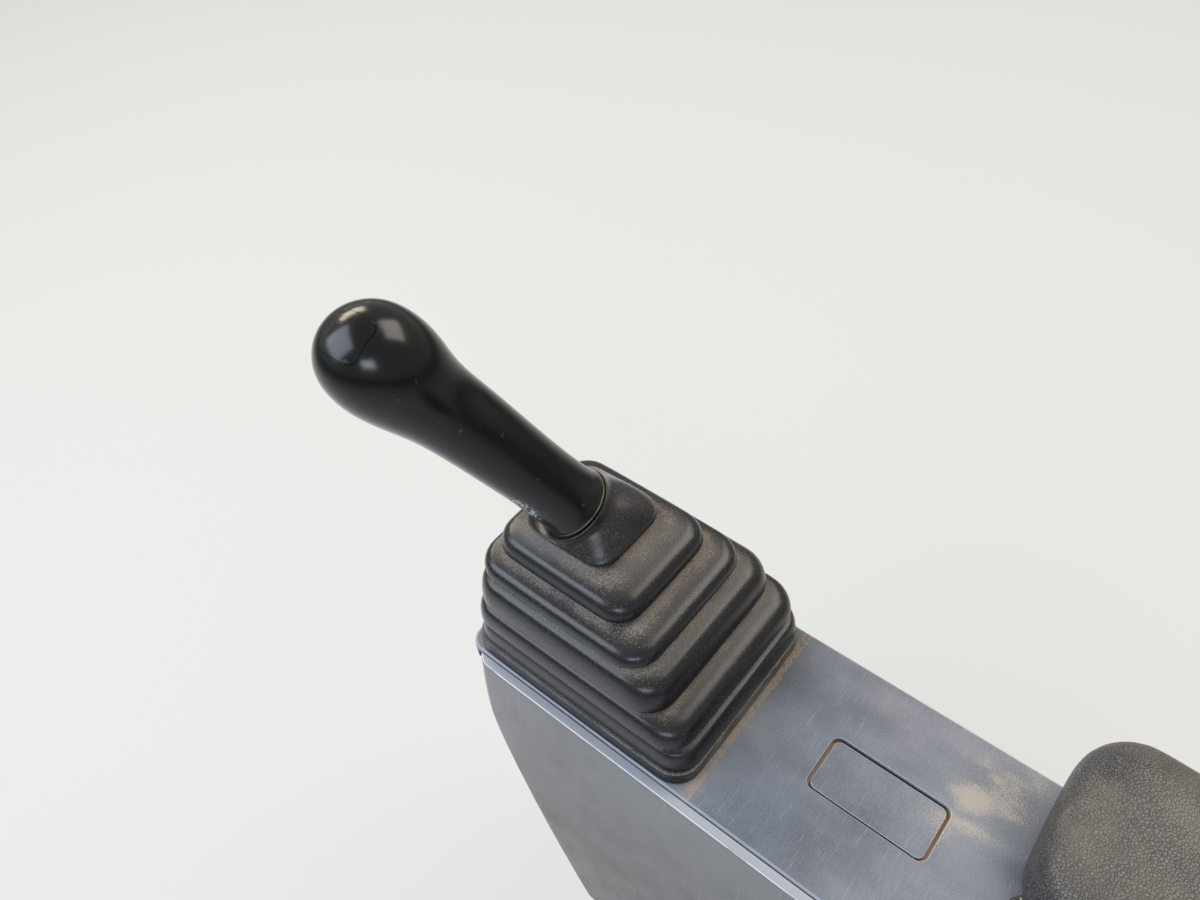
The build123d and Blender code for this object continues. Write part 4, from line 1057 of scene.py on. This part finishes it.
# Weld beads: a fillet of weld steel along both faces of each side plate's foot, in a run of
# overlapping drops. They are sprayed over with the frame.
WELD_R = 2.6             # mm
WELD_LINES = (-46.2, -39.8, 39.8, 46.2)  # mm in X
WELD_START = -166.0      # mm in Y
WELD_SINK = 0.3          # mm into the plate
WELD_DROPS = 128
WELD_STEP = 2.46         # mm from drop to drop
beads = []
for x in WELD_LINES:
    bpy.ops.mesh.primitive_uv_sphere_add(
        segments=10, ring_count=6, radius=WELD_R * MM, scale=(0.8, 1.1, 0.8),
        location=(x * MM, WELD_START * MM, (PLATE_T - WELD_SINK) * MM),
    )
    bpy.ops.object.transform_apply(location=True, rotation=False, scale=True)
    bpy.ops.object.shade_smooth()
    beads.append(applied(
        bpy.context.object, "ARRAY", count=WELD_DROPS, use_relative_offset=False, use_constant_offset=True,
        constant_offset_displace=(0.0, WELD_STEP * MM, 0.0),
    ))
beads = joined("foot_weld_beads", beads)

# Sprayed steel: satin black with a faint orange peel, chips gone to rust, and dust on what is level.
sprayed = new_material("sprayed_satin_black_steel")
spot, facing_up = surface_of(sprayed)
level = node(sprayed, "MapRange", {0: facing_up, 1: 0.55, 4: 0.62})
dust = mottle(sprayed, spot, 34.0, 0.28, 0.70, 7.0, most=level)
chips = mottle(sprayed, spot, 95.0, 0.70, 0.73, 6.0)
finished(sprayed, "#1f2022", [(chips, "#5a3a26"), (dust, SITE_DUST)], {
    "Roughness": node(sprayed, "MapRange", {0: dust, 2: 0.5, 3: 0.42, 4: 0.85}),
    "Normal": roughened(sprayed, spot, 520.0, 2.0, 0.12, 0.0003),
})


def dressed_copy(cad_node, name, rounding, material):
    """A copy of a CAD node: its loose triangles merged, its edges rounded in mm, and coated."""
    piece = bpy.data.objects.new(name, frame["nodes"][cad_node].data.copy())
    bpy.context.scene.collection.objects.link(piece)
    picked(piece)
    bpy.ops.object.mode_set(mode="EDIT")
    bpy.ops.mesh.select_all(action="SELECT")
    bpy.ops.mesh.remove_doubles(threshold=0.005 * MM)
    bpy.ops.mesh.dissolve_limited(angle_limit=radians(1.0))
    bpy.ops.mesh.normals_make_consistent(inside=False)
    bpy.ops.object.mode_set(mode="OBJECT")
    eased(piece, rounding, 40.0)
    return coated(piece, material)


for cad_node, name, body in (
    ("pedestal", "pedestal_plates", "console"),
    ("pedestal_spacers", "spacer_bars", "console"),
    ("tray", "folded_tray", "console"),
    ("armrest_bracket", "hinge_bracket", "console"),
    ("armrest_plate", "pad_board", "armrest"),
):
    piece = dressed_copy(cad_node, name, 0.4, sprayed)
    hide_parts(cad_node)
    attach(piece, body)
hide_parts("base_plate")
for piece in (base, beads):
    coated(piece, sprayed)
    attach(piece, "console")

# Pilot valve: a cast-iron block painted grey, hung in the tray by its flange, with zinc-plated hose
# nipples below. The yoke, the cross and the lever's fork are machined steel, lightly oiled. The
# armrest's pin is zinc-plated too.

# Painted casting: lumps of about 3 mm show through the paint, and oil makes it darker and glossier.
cast = new_material("painted_cast_iron")
spot = (node(cast, "TexCoord"), "Object")
oil = mottle(cast, spot, 30.0, 0.35, 0.7)
finished(cast, "#4a4c4f", [(oil, "#2c2b2a")], {
    "Roughness": node(cast, "MapRange", {0: oil, 3: 0.62, 4: 0.36}),
    "Normal": roughened(cast, spot, 380.0, 6.0, 0.5, 0.0005),
})
# Machined steel: bright, with fine turning lines across it and brown stains where the oil has dried.
machined = new_material("machined_oiled_steel")
spot = (node(machined, "TexCoord"), "Object")
turning = node(machined, "Mapping", {"Vector": spot, "Scale": (120.0, 120.0, 2600.0)})
stain = mottle(machined, spot, 60.0, 0.45, 0.75, 6.0)
finished(machined, "#b9b8b4", [(stain, "#7d6f5e")], {
    "Metallic": 1.0,
    "Roughness": node(machined, "MapRange", {0: stain, 3: 0.28, 4: 0.55}),
    "Normal": roughened(machined, turning, 1.0, 2.0, 0.10, 0.0001),
})
# Zinc plating: a pale grey metal that has gone dull in patches.
zinc = new_material("zinc_plated_steel")
spot = (node(zinc, "TexCoord"), "Object")
dulled = mottle(zinc, spot, 160.0, 0.35, 0.72)
finished(zinc, "#a9aba9", [(dulled, "#7c7a73")], {
    "Metallic": 1.0, "Roughness": node(zinc, "MapRange", {0: dulled, 3: 0.32, 4: 0.60}),
})

# node, name, edge rounding in mm, material, body, slot
for cad_node, name, rounding, material, body, slot in (
    ("valve_block", "valve_casting", 0.8, cast, "console", "valve_iron"),
    ("port_nipples", "hose_nipples", 0.3, zinc, "console", "bright_steel"),
    ("valve_yoke", "yoke_forging", 0.4, machined, "console", "bright_steel"),
    ("gimbal_cross", "cross_forging", 0.3, machined, "gimbal", "bright_steel"),
    ("lever_fork", "fork_and_rod", 0.3, machined, "lever", "bright_steel"),
    ("armrest_pin", "hinge_pin", 0.3, zinc, "console", "bright_steel"),
):
    piece = dressed_copy(cad_node, name, rounding, material)
    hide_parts(cad_node)
    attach(piece, body)

# Buffers: two stops moulded in black rubber and glued on the lid, on which the armrest's board
# comes down. They are round, with a rounded top edge.
BUFFER_X = (4.0, 44.0)
BUFFER_Y = -35.0
# mm: height, radius
BUFFER_ROWS = [
    (300.0, 3.0), (300.0, 7.6), (300.3, 8.0), (301.2, 8.0), (302.0, 7.7), (307.4, 7.5), (308.8, 7.1),
    (309.5, 6.2), (309.7, 4.8), (309.7, 2.0),
]
stops = []
for x in BUFFER_X:
    rings = [round_ring((x, BUFFER_Y, height), radius) for height, radius in BUFFER_ROWS]
    stops.append(smoothed(bridged("buffer", rings, capped=(0, -1)), 1))
buffers = joined("rubber_buffers", stops)
lay_dust(buffers, [(0.0, 0.7)])
coated(buffers, rubber)
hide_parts("armrest_buffers")
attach(buffers, "console")

# Fasteners: zinc button-head screws with washers hold the covers, flat ones the hinge bracket, cap
# screws the valve's flange, and four pan heads under the board the pad. Each has a hexagon socket.
# Rows in mm: height above the seat, radius
BUTTON_ROWS = [
    (0.0, 5.0), (0.0, 7.7), (0.3, 8.0), (1.0, 8.0), (1.3, 7.7), (1.3, 5.6), (1.6, 5.6), (2.6, 5.1),
    (3.5, 4.1), (3.9, 3.0), (4.0, 1.4),
]
CAP_ROWS = [(0.0, 3.0), (0.0, 4.6), (0.3, 4.9), (5.4, 4.9), (5.9, 4.6), (6.0, 3.9), (6.0, 1.6)]
FLAT_ROWS = [(0.0, 3.0), (0.0, 5.4), (0.3, 5.6), (1.6, 5.2), (2.5, 4.2), (2.8, 3.0), (2.8, 1.4)]
PAN_ROWS = [(0.0, 2.0), (0.0, 4.1), (0.3, 4.4), (1.4, 4.2), (2.2, 3.4), (2.5, 2.2), (2.5, 1.2)]
SOCKET_TOOL = 10.0       # mm, length of the tool that sinks a socket
# object, body, rows, socket's radius and depth, then each screw's seat and its axis's turn in degrees
SCREWS = [
    ("cover_screws", "console", BUTTON_ROWS, 2.0, 2.2, [
        ((x, y, 48.0), (0, turn)) for y in (-148.0, 124.0) for x, turn in ((-78.4, -90), (68.7, 90))
    ]),
    ("flange_screws", "console", CAP_ROWS, 2.6, 3.2, [
        ((x, y, 247.0), (0, 0)) for x in (-34.5, 34.5) for y in (215.5, 284.5)
    ]),
    ("bracket_screws", "console", FLAT_ROWS, 2.0, 1.8, [
        ((x, -220.0, 303.0), (0, 0)) for x in (-4.0, 52.0)
    ]),
    ("board_screws", "armrest", PAN_ROWS, 1.7, 1.5, [
        ((x, y, 310.0), (180, 0)) for x in (-2.0, 58.0) for y in (-185.0, -60.0)
    ]),
]
for name, body, rows, radius, depth, places in SCREWS:
    heads = []
    for seat, turn in places:
        rings = [round_ring((0.0, 0.0, height), size) for height, size in rows]
        head = smoothed(bridged("screw_head", rings, capped=(0, -1)), 1)
        socket_floor = rows[-1][0] - depth
        cut(head, round_tool(0, 0, radius, socket_floor, socket_floor + SOCKET_TOOL, 6))
        head.location = Vector(seat) * MM
        head.rotation_euler = [radians(angle) for angle in turn] + [0.0]
        bpy.ops.object.transform_apply(location=True, rotation=True, scale=False)
        coated(head, zinc)
        heads.append(shaded(head, 35.0))
    screws = joined(name, heads)
    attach(screws, body)

size = {
    "cad": [list(corner) for corner in cad_box],
    "visual": [list(corner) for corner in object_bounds()],
}
